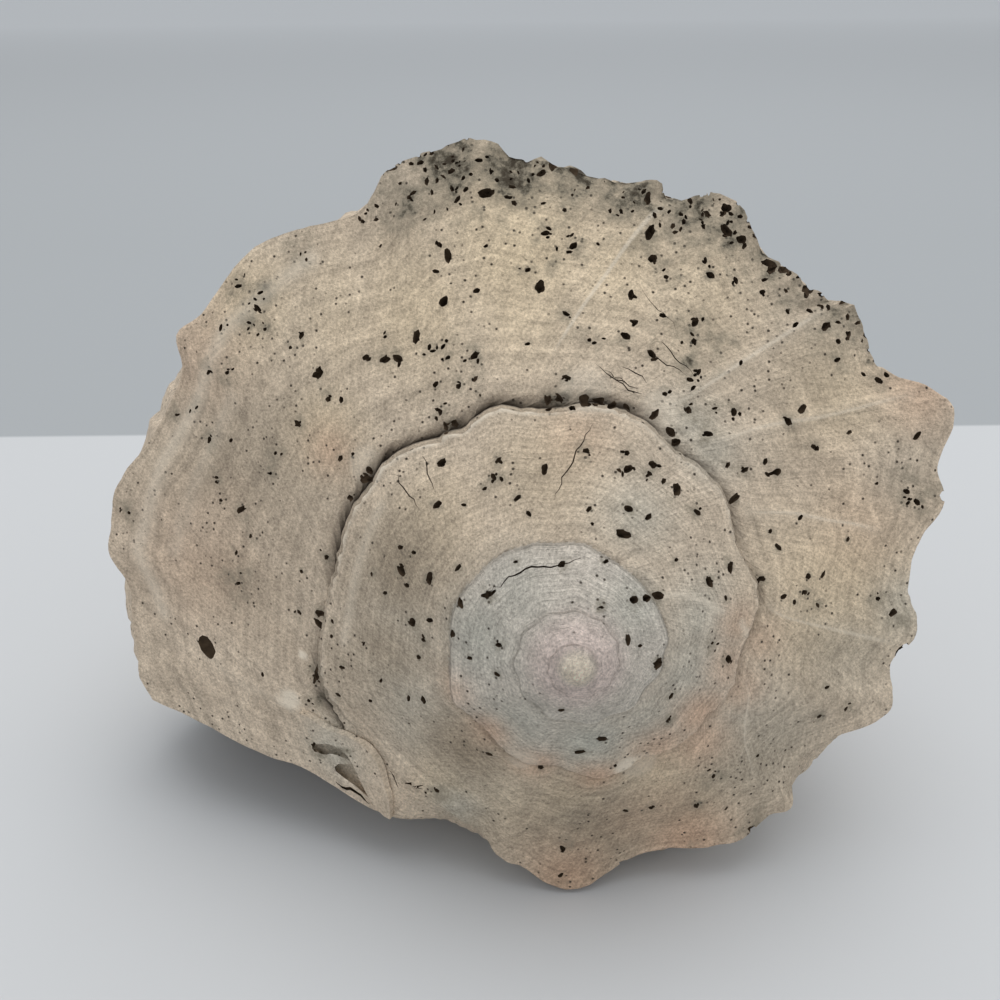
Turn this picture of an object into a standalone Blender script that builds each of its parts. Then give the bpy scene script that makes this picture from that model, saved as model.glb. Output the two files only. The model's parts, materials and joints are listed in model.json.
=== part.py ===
"""A lightning whelk shell, left-handed, lying on its aperture side.

The shell grew as one piece, so it is one closed solid: a whorled outer wall that widens by
the same factor every turn, cut hollow by one winding cavity that opens at the lip and runs
on into the siphonal canal.

Frame: metres, +Z up, the table at Z = 0. The spire points to -Y and a little up, the canal
to +Y. Growth angles are in degrees about the shell's axis, from +X towards +Z, which seen
from the spire is anticlockwise, as in every left-handed shell.
"""

import math

import bmesh
import bpy
import numpy as np
from mathutils import Matrix, Vector

# Spiral growth
SHOULDER_AT_ZERO = 0.0257
GROWTH = 0.1232
FIRST_ANGLE = -600.0
LIP_ANGLE = 590.0
TURN = 360.0
NIPPLE_DEPTH = 0.35

# The whorl's outline, in shoulder radii of its own growth stage
SUTURE_RADIUS = 0.4756
SUTURE_DEPTH = 0.3451
LATE_SUTURE_OUT = 0.03
LATE_SUTURE_RISE = 0.03
LATE_SUTURE_SPAN = (540.0, 590.0)
RIM_DEPTH = 0.529
MEAN_RIM = 0.97
CURL_START = 0.3
RAMP_SAG = 0.012
SIDE_RADIUS = 0.97
SEAM_FADE = 0.25
BODY_OUTLINE = (
    (0.0, SIDE_RADIUS), (0.748, SIDE_RADIUS), (0.95, 0.93), (1.2, 0.835), (1.5, 0.69), (1.8, 0.535),
    (2.1, 0.38), (2.4, 0.24), (2.7, 0.12), (3.0, 0.04), (3.2, 0.0), (40.0, 0.0),
)

# Canal and columella, in metres along the axis from the apex
TIP_DEPTH = 0.214
COLUMELLA_TOP = 0.0135
COLUMELLA_TIP = 0.0062
CANAL_OPENING = 0.0125
CANAL_OPENS = (235.0, 600.0)
CANAL_NARROWING = 0.42
CANAL_NARROWS = (0.5, 1.0)
CANAL_TAPER_END = 1.2
CANAL_SWAY = (0.004, 0.0028)
CANAL_SWAY_SPAN = (0.1177, 0.2354)
BODY_TO_CANAL = 5

# The rim of the shoulder: growth angle and radius in shoulder radii, knobs and hollows
RIM_OUTLINE = (
    (236, 0.86), (245, 0.87), (254, 0.93), (259, 0.96), (265, 1.045), (270, 1.055), (275, 1.0),
    (280, 0.89), (290, 0.85), (300, 0.90), (310, 0.92), (317, 0.95), (322, 0.88), (329, 0.82),
    (335, 0.88), (341, 1.01), (350, 0.94), (356, 0.98), (367, 0.93), (374, 1.0), (380, 1.05),
    (387, 1.11), (393, 1.07), (399, 0.985), (407, 1.01), (418, 0.965), (424, 0.98),
    (430, 1.035), (436, 1.0), (447, 0.985), (456, 1.0), (463, 1.05), (472, 1.045),
    (479, 0.97), (490, 1.0), (505, 0.98), (514, 0.92), (521, 0.92), (531, 0.965), (541, 0.91),
    (550, 0.90), (557, 0.88), (570, 0.88),
)
SPIRE_KNOB_SPACING = 32.0
SPIRE_KNOB_START = 11.0
SPIRE_KNOB_HEIGHT = 0.02
SPIRE_RIM = 1.015
SPIRE_RIM_DEPTH = 0.712
SPIRE_TO_BODY = (200.0, 245.0)

# The lip
LIP_SWEEP_BACK = -33.0
LIP_SWEEP_CURVE = 0.62
LIP_OUTLINE = ((0.0, -33.0), (0.16, -22.0), (0.45, -19.2), (0.8, -13.5), (1.0, -12.5))
LIP_BEND_SPAN = 80.0
PAST_LIP_SPAN = 15.0
LIP_SHRINK = 0.10
LIP_SHRINK_SPAN = (500.0, 570.0)

# The wall and the cavity
WALL = 0.0031
LIP_WALL = 0.0022
WALL_SPAN = 30.0
SIDE_THINNING = 0.25
CALLUS = 0.0007
CAVITY_START = 45.0
CAVITY_PAST_LIP = 36.0
LIFT_PAST_LIP = 0.004
LIFT_SPAN = 40.0
PAST_TIP = 0.006
NARROWEST_GAP = 0.0008
ROOF_WALLS = 1.25
CORNER_DROP = 0.0004
SIDE_SAMPLES = 100

# How it lies
AXIS_DROP = 12.7
WORN_FLAT = 0.0008
KNOB_STRETCH = (0.0, 0.045)
LIP_STRETCH = (0.045, 0.15)
LIP_SIDE = -0.03
CANAL_STRETCH = (0.19, 0.22)
LEVELLING_ROUNDS = 6
TABLE_BLOCK = 0.4

# Mesh
MERGE = 0.00005
COLUMNS_PER_TURN = 72
RAMP_ROWS = (0.0, 0.16, 0.4, 0.64, 0.86, 1.0)
STEP_ROWS = (0.45, 1.0)
BODY_ROWS = (0.05, 0.12, 0.20, 0.29, 0.39, 0.50, 0.61, 0.72, 0.82, 0.91, 1.0)
CAVITY_COLUMNS_PER_TURN = 48
CAVITY_RAMP = (0.2, 0.45, 0.72, 0.9)
CAVITY_SIDE = (0.03, 0.14, 0.26, 0.4, 0.55, 0.7, 0.85, 1.0)
CAVITY_INNER = (0.12, 0.26, 0.4, 0.54, 0.68, 0.82, 0.92, 1.0)

SHELL_COLOUR = (0.47, 0.40, 0.32, 1.0)


def smooth(x, low, high):
    """0 below low, 1 above high and an S-curve between."""
    t = np.clip((x - low) / (high - low), 0.0, 1.0)
    return t * t * (3.0 - 2.0 * t)


def eased(x, points):
    """The value at x on a smooth line through the points, flat at each of them."""
    places = np.array([p[0] for p in points], float)
    values = np.array([p[1] for p in points], float)
    i = np.clip(np.searchsorted(places, x) - 1, 0, len(places) - 2)
    t = np.clip((x - places[i]) / (places[i + 1] - places[i]), 0.0, 1.0)
    t = t * t * (3.0 - 2.0 * t)
    return values[i] * (1.0 - t) + values[i + 1] * t


def scale(angle):
    """The shoulder radius of the growth stage at this angle."""
    return SHOULDER_AT_ZERO * np.exp(GROWTH * np.radians(angle))


def body_scale(angle):
    """The same, with the last growth a little smaller, as in an old shell."""
    return scale(angle) * (1.0 - LIP_SHRINK * smooth(angle, *LIP_SHRINK_SPAN))


def spire_wave(angle):
    """How far the spire's rim stands out at its low, even knobs and draws in between them."""
    return 1.0 + SPIRE_KNOB_HEIGHT * np.cos(math.tau * (angle - SPIRE_KNOB_START) / SPIRE_KNOB_SPACING)


def rim(angle):
    """Radius and depth of the shoulder's rim: close above the suture on the spire, flared on the body."""
    share = smooth(angle, *SPIRE_TO_BODY)
    wave = SPIRE_RIM * spire_wave(angle) * (1.0 - share) + eased(angle, RIM_OUTLINE) * share
    depth = SPIRE_RIM_DEPTH + (RIM_DEPTH - SPIRE_RIM_DEPTH) * share
    return scale(angle) * wave, body_scale(angle) * depth


def suture(angle):
    """Radius and depth of the line where a whorl joins the turn before it."""
    late = smooth(angle, *LATE_SUTURE_SPAN)
    radius = SUTURE_RADIUS * (spire_wave(angle - TURN) * (1.0 - late) + (1.0 + LATE_SUTURE_OUT) * late)
    depth = SUTURE_DEPTH - LATE_SUTURE_RISE * late
    past = smooth(angle, LIP_ANGLE, LIP_ANGLE + PAST_LIP_SPAN)
    tapered = SIDE_RADIUS * math.exp(-GROWTH * math.tau)
    return scale(angle) * (radius * (1.0 - past) + tapered * past), scale(angle) * depth


def canal_radius(angle, depth):
    """The radius of the columella, and of the canal wall that opens out from it."""
    along = np.clip(depth / TIP_DEPTH, 0.0, CANAL_TAPER_END)
    pillar = COLUMELLA_TOP + (COLUMELLA_TIP - COLUMELLA_TOP) * along
    opening = CANAL_OPENING * smooth(angle, *CANAL_OPENS)
    return pillar + opening * (1.0 - CANAL_NARROWING * smooth(along, *CANAL_NARROWS))


def side_radius(angle, depth):
    """The radius of the wall below the shoulder at this depth."""
    stage = body_scale(angle)
    places = [p[0] for p in BODY_OUTLINE]
    values = [p[1] for p in BODY_OUTLINE]
    body = stage * np.interp(depth / stage, places, values)
    canal = canal_radius(angle, depth)
    return (body**BODY_TO_CANAL + canal**BODY_TO_CANAL) ** (1.0 / BODY_TO_CANAL)


def ramp_point(angle, f):
    """Radius and depth on the ramp, from the suture at f = 0 to the shoulder rim at f = 1."""
    r0, d0 = suture(angle)
    r1, d1 = rim(angle)
    mean = SPIRE_RIM + (MEAN_RIM - SPIRE_RIM) * smooth(angle, *SPIRE_TO_BODY)
    slope = (d1 - d0) / (mean * scale(angle) - r0)
    curl = (d1 - d0 - slope * (r1 - r0)) * smooth(f, CURL_START, 1.0)
    sag = RAMP_SAG * scale(angle) * math.sin(math.pi * f)
    return r0 + (r1 - r0) * f, d0 + slope * (r1 - r0) * f + curl + sag


def step_point(angle, f):
    """Radius and depth on the steep step from the rim to where the next turn joins."""
    r1, d1 = rim(angle)
    r2, d2 = suture(angle + TURN)
    return r1 + (r2 - r1) * smooth(f, 0.0, 1.0), d1 + (d2 - d1) * f


def side_point(angle, f):
    """Radius and depth on the side, from the next turn's suture at f = 0 to the canal's tip."""
    r2, d2 = suture(angle + TURN)
    depth = d2 + (TIP_DEPTH - d2) * f
    fade = 1.0 - smooth(f, 0.0, SEAM_FADE)
    return side_radius(angle, depth) + (r2 - side_radius(angle, d2)) * fade, depth


ROWS = (
    [(ramp_point, f) for f in RAMP_ROWS]
    + [(step_point, f) for f in STEP_ROWS]
    + [(side_point, f) for f in BODY_ROWS]
)
SEAM_ROW = len(RAMP_ROWS) + len(STEP_ROWS) - 1


def lip_angle(part, f):
    """The growth angle at which the lip ends on this row."""
    if part is ramp_point:
        return LIP_ANGLE + LIP_SWEEP_BACK * f**LIP_SWEEP_CURVE
    if part is step_point:
        return LIP_ANGLE + LIP_SWEEP_BACK
    return LIP_ANGLE + eased(f, LIP_OUTLINE)


def place(angle, radius, depth):
    """The point in the shell's own frame: apex at the origin, axis along +Y, +Z at 90 deg."""
    a = math.radians(angle)
    bend = float(smooth(depth, *CANAL_SWAY_SPAN))
    aside, up = CANAL_SWAY[0] * bend, CANAL_SWAY[1] * bend
    return Vector((radius * math.cos(a) + aside, depth, radius * math.sin(a) + up))


def outer_solid():
    """The whorled body as one closed mesh, with a plain face across the aperture."""
    mesh = bmesh.new()
    step = TURN / COLUMNS_PER_TURN
    count = int(round((LIP_ANGLE - FIRST_ANGLE) / step)) + 1
    body_start = count - 1 - COLUMNS_PER_TURN
    columns = []
    for i in range(count):
        angle = LIP_ANGLE - (count - 1 - i) * step
        bend = float(smooth(angle, LIP_ANGLE - LIP_BEND_SPAN, LIP_ANGLE))
        column = []
        for row, (part, f) in enumerate(ROWS[: None if i >= body_start else SEAM_ROW + 1]):
            if row == 0 and i >= COLUMNS_PER_TURN:
                column.append(columns[i - COLUMNS_PER_TURN][SEAM_ROW])
                continue
            turned = angle + bend * (lip_angle(part, f) - LIP_ANGLE)
            column.append(mesh.verts.new(place(turned, *part(turned, f))))
        columns.append(column)
    for left, right in zip(columns, columns[1:]):
        for row in range(min(len(left), len(right)) - 1):
            mesh.faces.new((left[row], left[row + 1], right[row + 1], right[row]))
    start = [column[0] for column in columns[:COLUMNS_PER_TURN]] + columns[0][SEAM_ROW:0:-1]
    fan(mesh, start, Vector((0.0, NIPPLE_DEPTH * suture(FIRST_ANGLE)[1], 0.0)))
    zip_together(mesh, columns[-1], columns[body_start][SEAM_ROW:])
    tips = [column[-1] for column in columns[body_start:]]
    fan(mesh, tips, sum((v.co for v in tips), Vector()) / len(tips))
    bmesh.ops.recalc_face_normals(mesh, faces=mesh.faces)
    return mesh


def fan(mesh, loop, point):
    """Triangles from each side of a closed loop to one new vertex."""
    centre = mesh.verts.new(point)
    for a, b in zip(loop, loop[1:] + loop[:1]):
        mesh.faces.new((a, b, centre))


def wall_at(angle, part, f):
    """The wall's thickness, thinner towards the lip and the canal's tip."""
    inside = smooth(lip_angle(part, f) - angle, 0.0, WALL_SPAN)
    wall = LIP_WALL + (WALL - LIP_WALL) * inside
    return wall * (1.0 - SIDE_THINNING * f) if part is side_point else wall


def inner_side(angle, depth):
    """The cavity's near side: the turn before it, under a thin callus."""
    radii, depths = side_point(angle - TURN, np.linspace(0.0, 1.0, SIDE_SAMPLES))
    lift = LIFT_PAST_LIP * smooth(angle, LIP_ANGLE, LIP_ANGLE + LIFT_SPAN)
    return np.interp(depth, depths, radii) + CALLUS + lift


def cavity_section(angle):
    """Radius and depth of the points round the cavity at one growth angle."""
    section = []
    for f in CAVITY_RAMP:
        radius, depth = ramp_point(angle, f)
        section.append((radius, depth + wall_at(angle, ramp_point, f)))
    wall = wall_at(angle, ramp_point, 1.0)
    radius, depth = ramp_point(angle, 1.0)
    section.append((radius - wall, depth + wall))
    steps = np.linspace(0.0, 1.0, SIDE_SAMPLES)[1:]
    radii, depths = side_point(angle, steps)
    room = radii - wall_at(angle, side_point, steps) - inner_side(angle, depths)
    closed = np.flatnonzero(room < NARROWEST_GAP)
    closing = 1.0
    if len(closed):
        last = max(closed[0], 1)
        closing = np.interp(NARROWEST_GAP, room[[last, last - 1]], steps[[last, last - 1]])
    opening = np.interp(section[-1][1] + CORNER_DROP, depths, steps)
    for share in CAVITY_SIDE:
        f = opening + (closing - opening) * share
        radius, depth = side_point(angle, f)
        section.append((radius - wall_at(angle, side_point, f), depth))
    end_radius, end_depth = section[-1]
    section.append((end_radius, end_depth if len(closed) else TIP_DEPTH + PAST_TIP))
    top = suture(angle)[1] + ROOF_WALLS * wall_at(angle, ramp_point, CAVITY_RAMP[0])
    bottom = section[-1][1]
    for share in CAVITY_INNER:
        depth = bottom + (top - bottom) * share
        section.append((inner_side(angle, depth), depth))
    return section


def cavity_solid():
    """The winding hollow, from its inner end to past the lip, as one closed mesh."""
    mesh = bmesh.new()
    span = LIP_ANGLE + CAVITY_PAST_LIP - CAVITY_START
    count = round(span / TURN * CAVITY_COLUMNS_PER_TURN)
    loops = []
    for i in range(count + 1):
        angle = CAVITY_START + i * TURN / CAVITY_COLUMNS_PER_TURN
        loops.append([mesh.verts.new(place(angle, *point)) for point in cavity_section(angle)])
    for left, right in zip(loops, loops[1:]):
        for a, b, c, d in zip(left, left[1:] + left[:1], right[1:] + right[:1], right):
            mesh.faces.new((a, b, c, d))
    far_side = len(CAVITY_RAMP) + len(CAVITY_SIDE) + 2
    for loop in (loops[0], loops[-1]):
        zip_together(mesh, loop[:far_side], loop[:far_side - 1 : -1])
    bmesh.ops.remove_doubles(mesh, verts=mesh.verts, dist=MERGE)
    bmesh.ops.recalc_face_normals(mesh, faces=mesh.faces)
    return mesh


def zip_together(mesh, one, two):
    """Triangles between two rows of vertices that may start at the same vertex."""
    i = j = 0
    while i < len(one) - 1 or j < len(two) - 1:
        ahead_one = (i + 1) / len(one) if i < len(one) - 1 else math.inf
        ahead_two = (j + 1) / len(two) if j < len(two) - 1 else math.inf
        if ahead_one <= ahead_two:
            corners = (one[i], two[j], one[i + 1])
            i += 1
        else:
            corners = (one[i], two[j], two[j + 1])
            j += 1
        if len(set(corners)) == 3:
            mesh.faces.new(corners)


def to_object(mesh, name, collection):
    """An object of this name that holds the mesh."""
    data = bpy.data.meshes.new(name)
    mesh.to_mesh(data)
    mesh.free()
    piece = bpy.data.objects.new(name, data)
    collection.objects.link(piece)
    return piece


def lowest_between(shell, turn, stretch, side=TABLE_BLOCK):
    """The lowest point of the turned shell in a stretch of its axis and left of a side."""
    inside = [v.co for v in shell.data.vertices if stretch[0] < v.co.y < stretch[1] and v.co.x < side]
    return min((turn @ point for point in inside), key=lambda point: point.z)


def lie_down(pieces):
    """Turns the pieces so that the shell rests on a shoulder knob, its lip and its canal."""
    shell = pieces[0]
    turn = Matrix.Rotation(math.radians(-AXIS_DROP), 4, "X")
    for _ in range(LEVELLING_ROUNDS):
        knob = lowest_between(shell, turn, KNOB_STRETCH)
        lip = lowest_between(shell, turn, LIP_STRETCH, LIP_SIDE)
        canal = lowest_between(shell, turn, CANAL_STRETCH)
        normal = (knob - lip).cross(canal - lip)
        normal *= math.copysign(1.0, normal.z)
        level = normal.rotation_difference(Vector((0.0, 0.0, 1.0))).to_matrix().to_4x4()
        turn = level @ turn
    points = np.array([turn @ v.co for v in shell.data.vertices])
    low, high = points.min(axis=0), points.max(axis=0)
    middle = (low + high) / 2.0
    shift = Matrix.Translation((-middle[0], -middle[1], -low[2] - WORN_FLAT))
    for piece in pieces:
        piece.matrix_world = shift @ turn


def cut_from(shell, cutter, name):
    """Takes the cutter's shape out of the shell and hides the cutter."""
    cutter.hide_render = True
    cutter.display_type = "WIRE"
    cut = shell.modifiers.new(name, "BOOLEAN")
    cut.operation = "DIFFERENCE"
    cut.solver = "EXACT"
    cut.object = cutter


def shell_material():
    """Chalky weathered aragonite."""
    finish = bpy.data.materials.new("weathered_shell")
    finish.use_nodes = True
    surface = finish.node_tree.nodes["Principled BSDF"]
    surface.inputs["Base Color"].default_value = SHELL_COLOUR
    surface.inputs["Roughness"].default_value = 0.85
    surface.inputs["Metallic"].default_value = 0.0
    return finish


def main():
    for old in list(bpy.data.objects):
        bpy.data.objects.remove(old)
    parts = bpy.data.collections.new("lightning_whelk_shell")
    cutters = bpy.data.collections.new("cutters")
    for group in (parts, cutters):
        bpy.context.scene.collection.children.link(group)
    shell = to_object(outer_solid(), "shell", parts)
    cavity = to_object(cavity_solid(), "cavity", cutters)
    lie_down((shell, cavity))
    block = bmesh.new()
    bmesh.ops.create_cube(block, size=TABLE_BLOCK)
    table = to_object(block, "table_cutter", cutters)
    table.location.z = -TABLE_BLOCK / 2.0
    cut_from(shell, cavity, "hollow")
    cut_from(shell, table, "worn flats")
    weld = shell.modifiers.new("weld", "WELD")
    weld.merge_threshold = MERGE
    shell.data.materials.append(shell_material())
    bpy.context.view_layer.update()


main()
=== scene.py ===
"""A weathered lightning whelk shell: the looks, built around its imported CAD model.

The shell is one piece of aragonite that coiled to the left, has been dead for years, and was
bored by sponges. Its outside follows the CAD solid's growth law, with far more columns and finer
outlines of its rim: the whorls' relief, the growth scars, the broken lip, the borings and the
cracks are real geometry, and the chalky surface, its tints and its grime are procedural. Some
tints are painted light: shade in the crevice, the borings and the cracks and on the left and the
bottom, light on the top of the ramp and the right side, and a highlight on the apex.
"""

import json
import logging
import math
from dataclasses import dataclass
from enum import Enum

import bmesh
import bpy
import numpy as np
from mathutils import Euler, Matrix, Vector
from mathutils.kdtree import KDTree

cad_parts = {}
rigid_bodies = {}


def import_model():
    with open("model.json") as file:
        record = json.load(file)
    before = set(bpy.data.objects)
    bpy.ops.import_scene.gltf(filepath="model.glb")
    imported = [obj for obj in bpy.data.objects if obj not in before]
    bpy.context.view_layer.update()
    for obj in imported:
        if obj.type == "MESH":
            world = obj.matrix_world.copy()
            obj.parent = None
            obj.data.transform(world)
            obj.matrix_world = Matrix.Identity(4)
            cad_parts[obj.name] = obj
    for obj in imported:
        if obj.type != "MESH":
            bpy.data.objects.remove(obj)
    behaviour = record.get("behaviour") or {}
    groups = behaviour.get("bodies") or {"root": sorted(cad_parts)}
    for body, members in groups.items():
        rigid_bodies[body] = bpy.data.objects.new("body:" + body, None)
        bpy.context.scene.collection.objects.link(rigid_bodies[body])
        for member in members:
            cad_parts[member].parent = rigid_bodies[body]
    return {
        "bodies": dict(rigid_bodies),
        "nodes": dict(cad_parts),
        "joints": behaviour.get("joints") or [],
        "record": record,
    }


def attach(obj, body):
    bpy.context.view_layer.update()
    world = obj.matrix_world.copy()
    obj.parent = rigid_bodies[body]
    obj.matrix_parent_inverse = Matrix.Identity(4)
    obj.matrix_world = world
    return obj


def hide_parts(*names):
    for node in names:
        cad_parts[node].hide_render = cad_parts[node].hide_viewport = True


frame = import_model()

log = logging.getLogger("whelk")

TURN = 360.0
MM = 0.001


# ---------------------------------------------------------------- numbers and noise


def smooth(x: np.ndarray, low: float, high: float) -> np.ndarray:
    """Gives an S-curve from 0 at low to 1 at high.

    Args:
        x: the places to read it at.
        low: where it leaves 0.
        high: where it reaches 1.

    Returns:
        The curve's value at each place.
    """
    t = np.clip((x - low) / (high - low), 0.0, 1.0)
    return t * t * (3.0 - 2.0 * t)


def eased(x: np.ndarray, points: tuple[tuple[float, float], ...]) -> np.ndarray:
    """Reads a smooth line through the points, flat at each of them.

    Args:
        x: the places to read it at.
        points: pairs of place and value, in order.

    Returns:
        The line's value at each place.
    """
    places = np.array([p[0] for p in points], float)
    values = np.array([p[1] for p in points], float)
    i = np.clip(np.searchsorted(places, x) - 1, 0, len(places) - 2)
    t = np.clip((x - places[i]) / (places[i + 1] - places[i]), 0.0, 1.0)
    t = t * t * (3.0 - 2.0 * t)
    return values[i] * (1.0 - t) + values[i + 1] * t


def curved(x: np.ndarray, points: tuple[tuple[float, float], ...]) -> np.ndarray:
    """Reads a rounded line through the points, which leaves each in the direction of its neighbours.

    Args:
        x: the places to read it at.
        points: pairs of place and value, in order.

    Returns:
        The line's value at each place.
    """
    places = np.array([p[0] for p in points], float)
    values = np.array([p[1] for p in points], float)
    slopes = np.gradient(values, places)
    i = np.clip(np.searchsorted(places, x) - 1, 0, len(places) - 2)
    span = places[i + 1] - places[i]
    t = np.clip((x - places[i]) / span, 0.0, 1.0)
    start = values[i] * (1.0 + 2.0 * t) * (1.0 - t) ** 2 + values[i + 1] * t**2 * (3.0 - 2.0 * t)
    return start + span * (slopes[i] * t * (1.0 - t) ** 2 - slopes[i + 1] * t**2 * (1.0 - t))


def hashed(x: np.ndarray, y: np.ndarray, seed: int) -> np.ndarray:
    """Gives each whole-number pair its own value between -1 and 1.

    Args:
        x: whole numbers.
        y: whole numbers.
        seed: which set of values.

    Returns:
        The values.
    """
    n = (x.astype(np.int64) * 374761393 + y.astype(np.int64) * 668265263 + seed * 974634777) & 0xFFFFFFFF
    n = ((n ^ (n >> 13)) * 1274126177) & 0xFFFFFFFF
    return ((n ^ (n >> 16)) & 0xFFFF) / 32767.5 - 1.0


def ripples(x: np.ndarray, y: np.ndarray, seed: int) -> np.ndarray:
    """Gives smooth noise that is about one unit from crest to crest.

    Args:
        x: the first coordinate, in crests.
        y: the second coordinate, in crests.
        seed: which noise.

    Returns:
        Values between -1 and 1.
    """
    x0, y0 = np.floor(x), np.floor(y)
    fx, fy = x - x0, y - y0
    fx, fy = fx * fx * (3.0 - 2.0 * fx), fy * fy * (3.0 - 2.0 * fy)
    low = hashed(x0, y0, seed) * (1.0 - fx) + hashed(x0 + 1, y0, seed) * fx
    high = hashed(x0, y0 + 1, seed) * (1.0 - fx) + hashed(x0 + 1, y0 + 1, seed) * fx
    return low * (1.0 - fy) + high * fy


def rough(x: np.ndarray, y: np.ndarray, seed: int, octaves: int = 4) -> np.ndarray:
    """Adds up noise at finer and finer scales.

    Args:
        x: the first coordinate, in crests of the coarsest noise.
        y: the second coordinate.
        seed: which noise.
        octaves: how many scales.

    Returns:
        Values mostly between -1 and 1.
    """
    total, weight = np.zeros_like(x), 1.0
    for octave in range(octaves):
        total = total + weight * ripples(x * 2**octave, y * 2**octave, seed + octave)
        weight *= 0.5
    return total / (2.0 - 2.0 * weight)


# ---------------------------------------------------------------- how the shell grew


@dataclass(frozen=True)
class Growth:
    """The law that gives the shell's outside: the CAD solid's law, with finer outlines of the rim.

    A growth angle counts degrees about the axis and ends at the lip. A place across the whorl is 0 at
    the suture, 1 at the shoulder's rim, 2 where the next turn joins and 3 at the canal's tip. Lengths
    are in metres, or in shoulder radii where they grow with the shell. Angles and the spans between
    them are in degrees, and the canal's narrowing and sway run over shares of the way to its tip.
    """

    shoulder_at_zero: float = 0.0257
    rate: float = 0.1232
    lip: float = 590.0
    suture_radius: float = 0.4756
    suture_depth: float = 0.3451
    late_suture_out: float = 0.03
    late_suture_rise: float = 0.03
    late_suture_span: tuple[float, float] = (540.0, 590.0)
    past_lip_span: float = 15.0
    rim_depth: float = 0.529
    spire_rim: float = 1.015
    spire_rim_depth: float = 0.712
    flare: tuple[float, float] = (200.0, 245.0)
    early_knobs: tuple[float, float, float] = (0.03, 11.0, 32.0)
    early_knobs_end: tuple[float, float] = (-370.0, -350.0)
    mean_rim: float = 0.97
    curl_start: float = 0.3
    ramp_sag: float = 0.012
    side_share: float = 0.97
    seam_fade: float = 0.25
    tip_depth: float = 0.214
    columella_top: float = 0.0135
    columella_tip: float = 0.0062
    canal_opening: float = 0.0125
    canal_opens: tuple[float, float] = (235.0, 600.0)
    canal_narrowing: float = 0.42
    canal_narrows: tuple[float, float] = (0.5, 1.0)
    canal_taper_end: float = 1.2
    canal_sway: tuple[float, float] = (0.004, 0.0028)
    canal_sway_span: tuple[float, float] = (0.55, 1.1)
    body_to_canal: int = 5
    lip_shrink: float = 0.10
    lip_shrink_span: tuple[float, float] = (500.0, 570.0)
    sweep: float = 36.0
    lip_sweep: float = 33.0
    sweep_curve: float = 0.62
    sweep_span: float = 80.0
    side_sweep: tuple[tuple[float, float], ...] = (
        (0.0, 1.0), (0.16, 0.667), (0.45, 0.582), (0.8, 0.409), (1.0, 0.379),
    )
    body_outline: tuple[tuple[float, float], ...] = (
        (0.0, 0.97), (0.748, 0.97), (0.95, 0.93), (1.2, 0.835), (1.5, 0.69), (1.8, 0.535),
        (2.1, 0.38), (2.4, 0.24), (2.7, 0.12), (3.0, 0.04), (3.2, 0.0), (40.0, 0.0),
    )
    rim_outline: tuple[tuple[float, float], ...] = (
        (236, 0.86), (244, 0.88), (249, 0.885), (253.5, 0.94), (257, 0.955), (259.5, 0.95), (265, 0.995),
        (269.5, 1.015), (274.5, 0.988), (278, 0.945), (281, 0.915), (289, 0.886), (300, 0.93), (306, 0.957),
        (313, 0.94), (317.5, 0.955), (321, 0.9), (325, 0.86), (329.5, 0.87), (334, 0.91), (339, 0.984),
        (342.5, 1.0), (345, 0.977), (350, 0.937), (355.5, 0.98), (358, 0.975), (362, 0.937), (367, 0.935),
        (370.5, 0.947), (376.5, 1.027), (381, 1.022), (388.5, 1.096), (392, 1.065), (395.5, 1.008),
        (399, 0.976), (404, 0.995), (408, 1.01), (411, 0.975), (418, 0.96), (423, 0.967), (429, 1.02),
        (432, 1.015), (436, 0.967), (439, 0.99), (445, 0.974), (452, 0.985), (459, 1.014), (463.5, 1.047),
        (466.5, 1.03), (473, 1.018), (478.5, 0.955), (485, 0.971), (491, 1.0), (499, 0.984), (503, 0.972),
        (507.5, 0.98), (510, 0.945), (516, 0.922), (521, 0.924), (528.5, 0.963), (533, 0.951), (537, 0.945),
        (540, 0.91), (547, 0.897), (550, 0.888), (553, 0.897), (557, 0.88), (570, 0.88),
    )
    spire_outline: tuple[tuple[float, float], ...] = (
        (-354, 1.05), (-339, 1.0), (-313, 0.955), (-289, 0.955), (-273, 1.0), (-259, 0.99), (-247, 1.01),
        (-225, 1.017), (-215, 1.007), (-195, 1.021), (-186, 1.0), (-174, 0.978), (-163, 0.998),
        (-152, 1.045), (-142, 1.0), (-133, 0.964), (-124, 0.99), (-105, 1.01), (-98, 0.97), (-89, 1.0),
        (-81, 1.044), (-67, 0.994), (-60, 0.961), (-53, 1.0), (-31, 0.986), (-19, 1.005), (-13, 0.974),
        (0, 0.994), (11, 1.022), (26, 0.963), (34, 0.974), (41, 1.016), (50, 1.008), (65, 0.995),
        (70, 1.027), (78, 1.033), (89, 1.008), (101, 0.974), (111, 1.006), (120, 0.964), (126, 0.967),
        (133, 1.0), (139, 1.017), (148, 1.005), (157, 1.003), (164, 0.982), (184, 0.991), (197, 1.03),
        (215, 0.97),
    )

    def scale(self, angle: np.ndarray) -> np.ndarray:
        """Gives the shoulder radius of each growth stage."""
        return self.shoulder_at_zero * np.exp(self.rate * np.radians(angle))

    def body_scale(self, angle: np.ndarray) -> np.ndarray:
        """Gives the same, with the last growth a little smaller."""
        return self.scale(angle) * (1.0 - self.lip_shrink * smooth(angle, *self.lip_shrink_span))

    def wave(self, angle: np.ndarray) -> np.ndarray:
        """Gives the rim's own outline in shoulder radii, knob by knob."""
        height, start, spacing = self.early_knobs
        early = 1.0 + height * np.cos(math.tau * (angle - start) / spacing)
        first = smooth(angle, *self.early_knobs_end)
        spire = early * (1.0 - first) + curved(angle, self.spire_outline) * first
        last = smooth(angle, *self.flare)
        return self.spire_rim * spire * (1.0 - last) + curved(angle, self.rim_outline) * last

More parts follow.
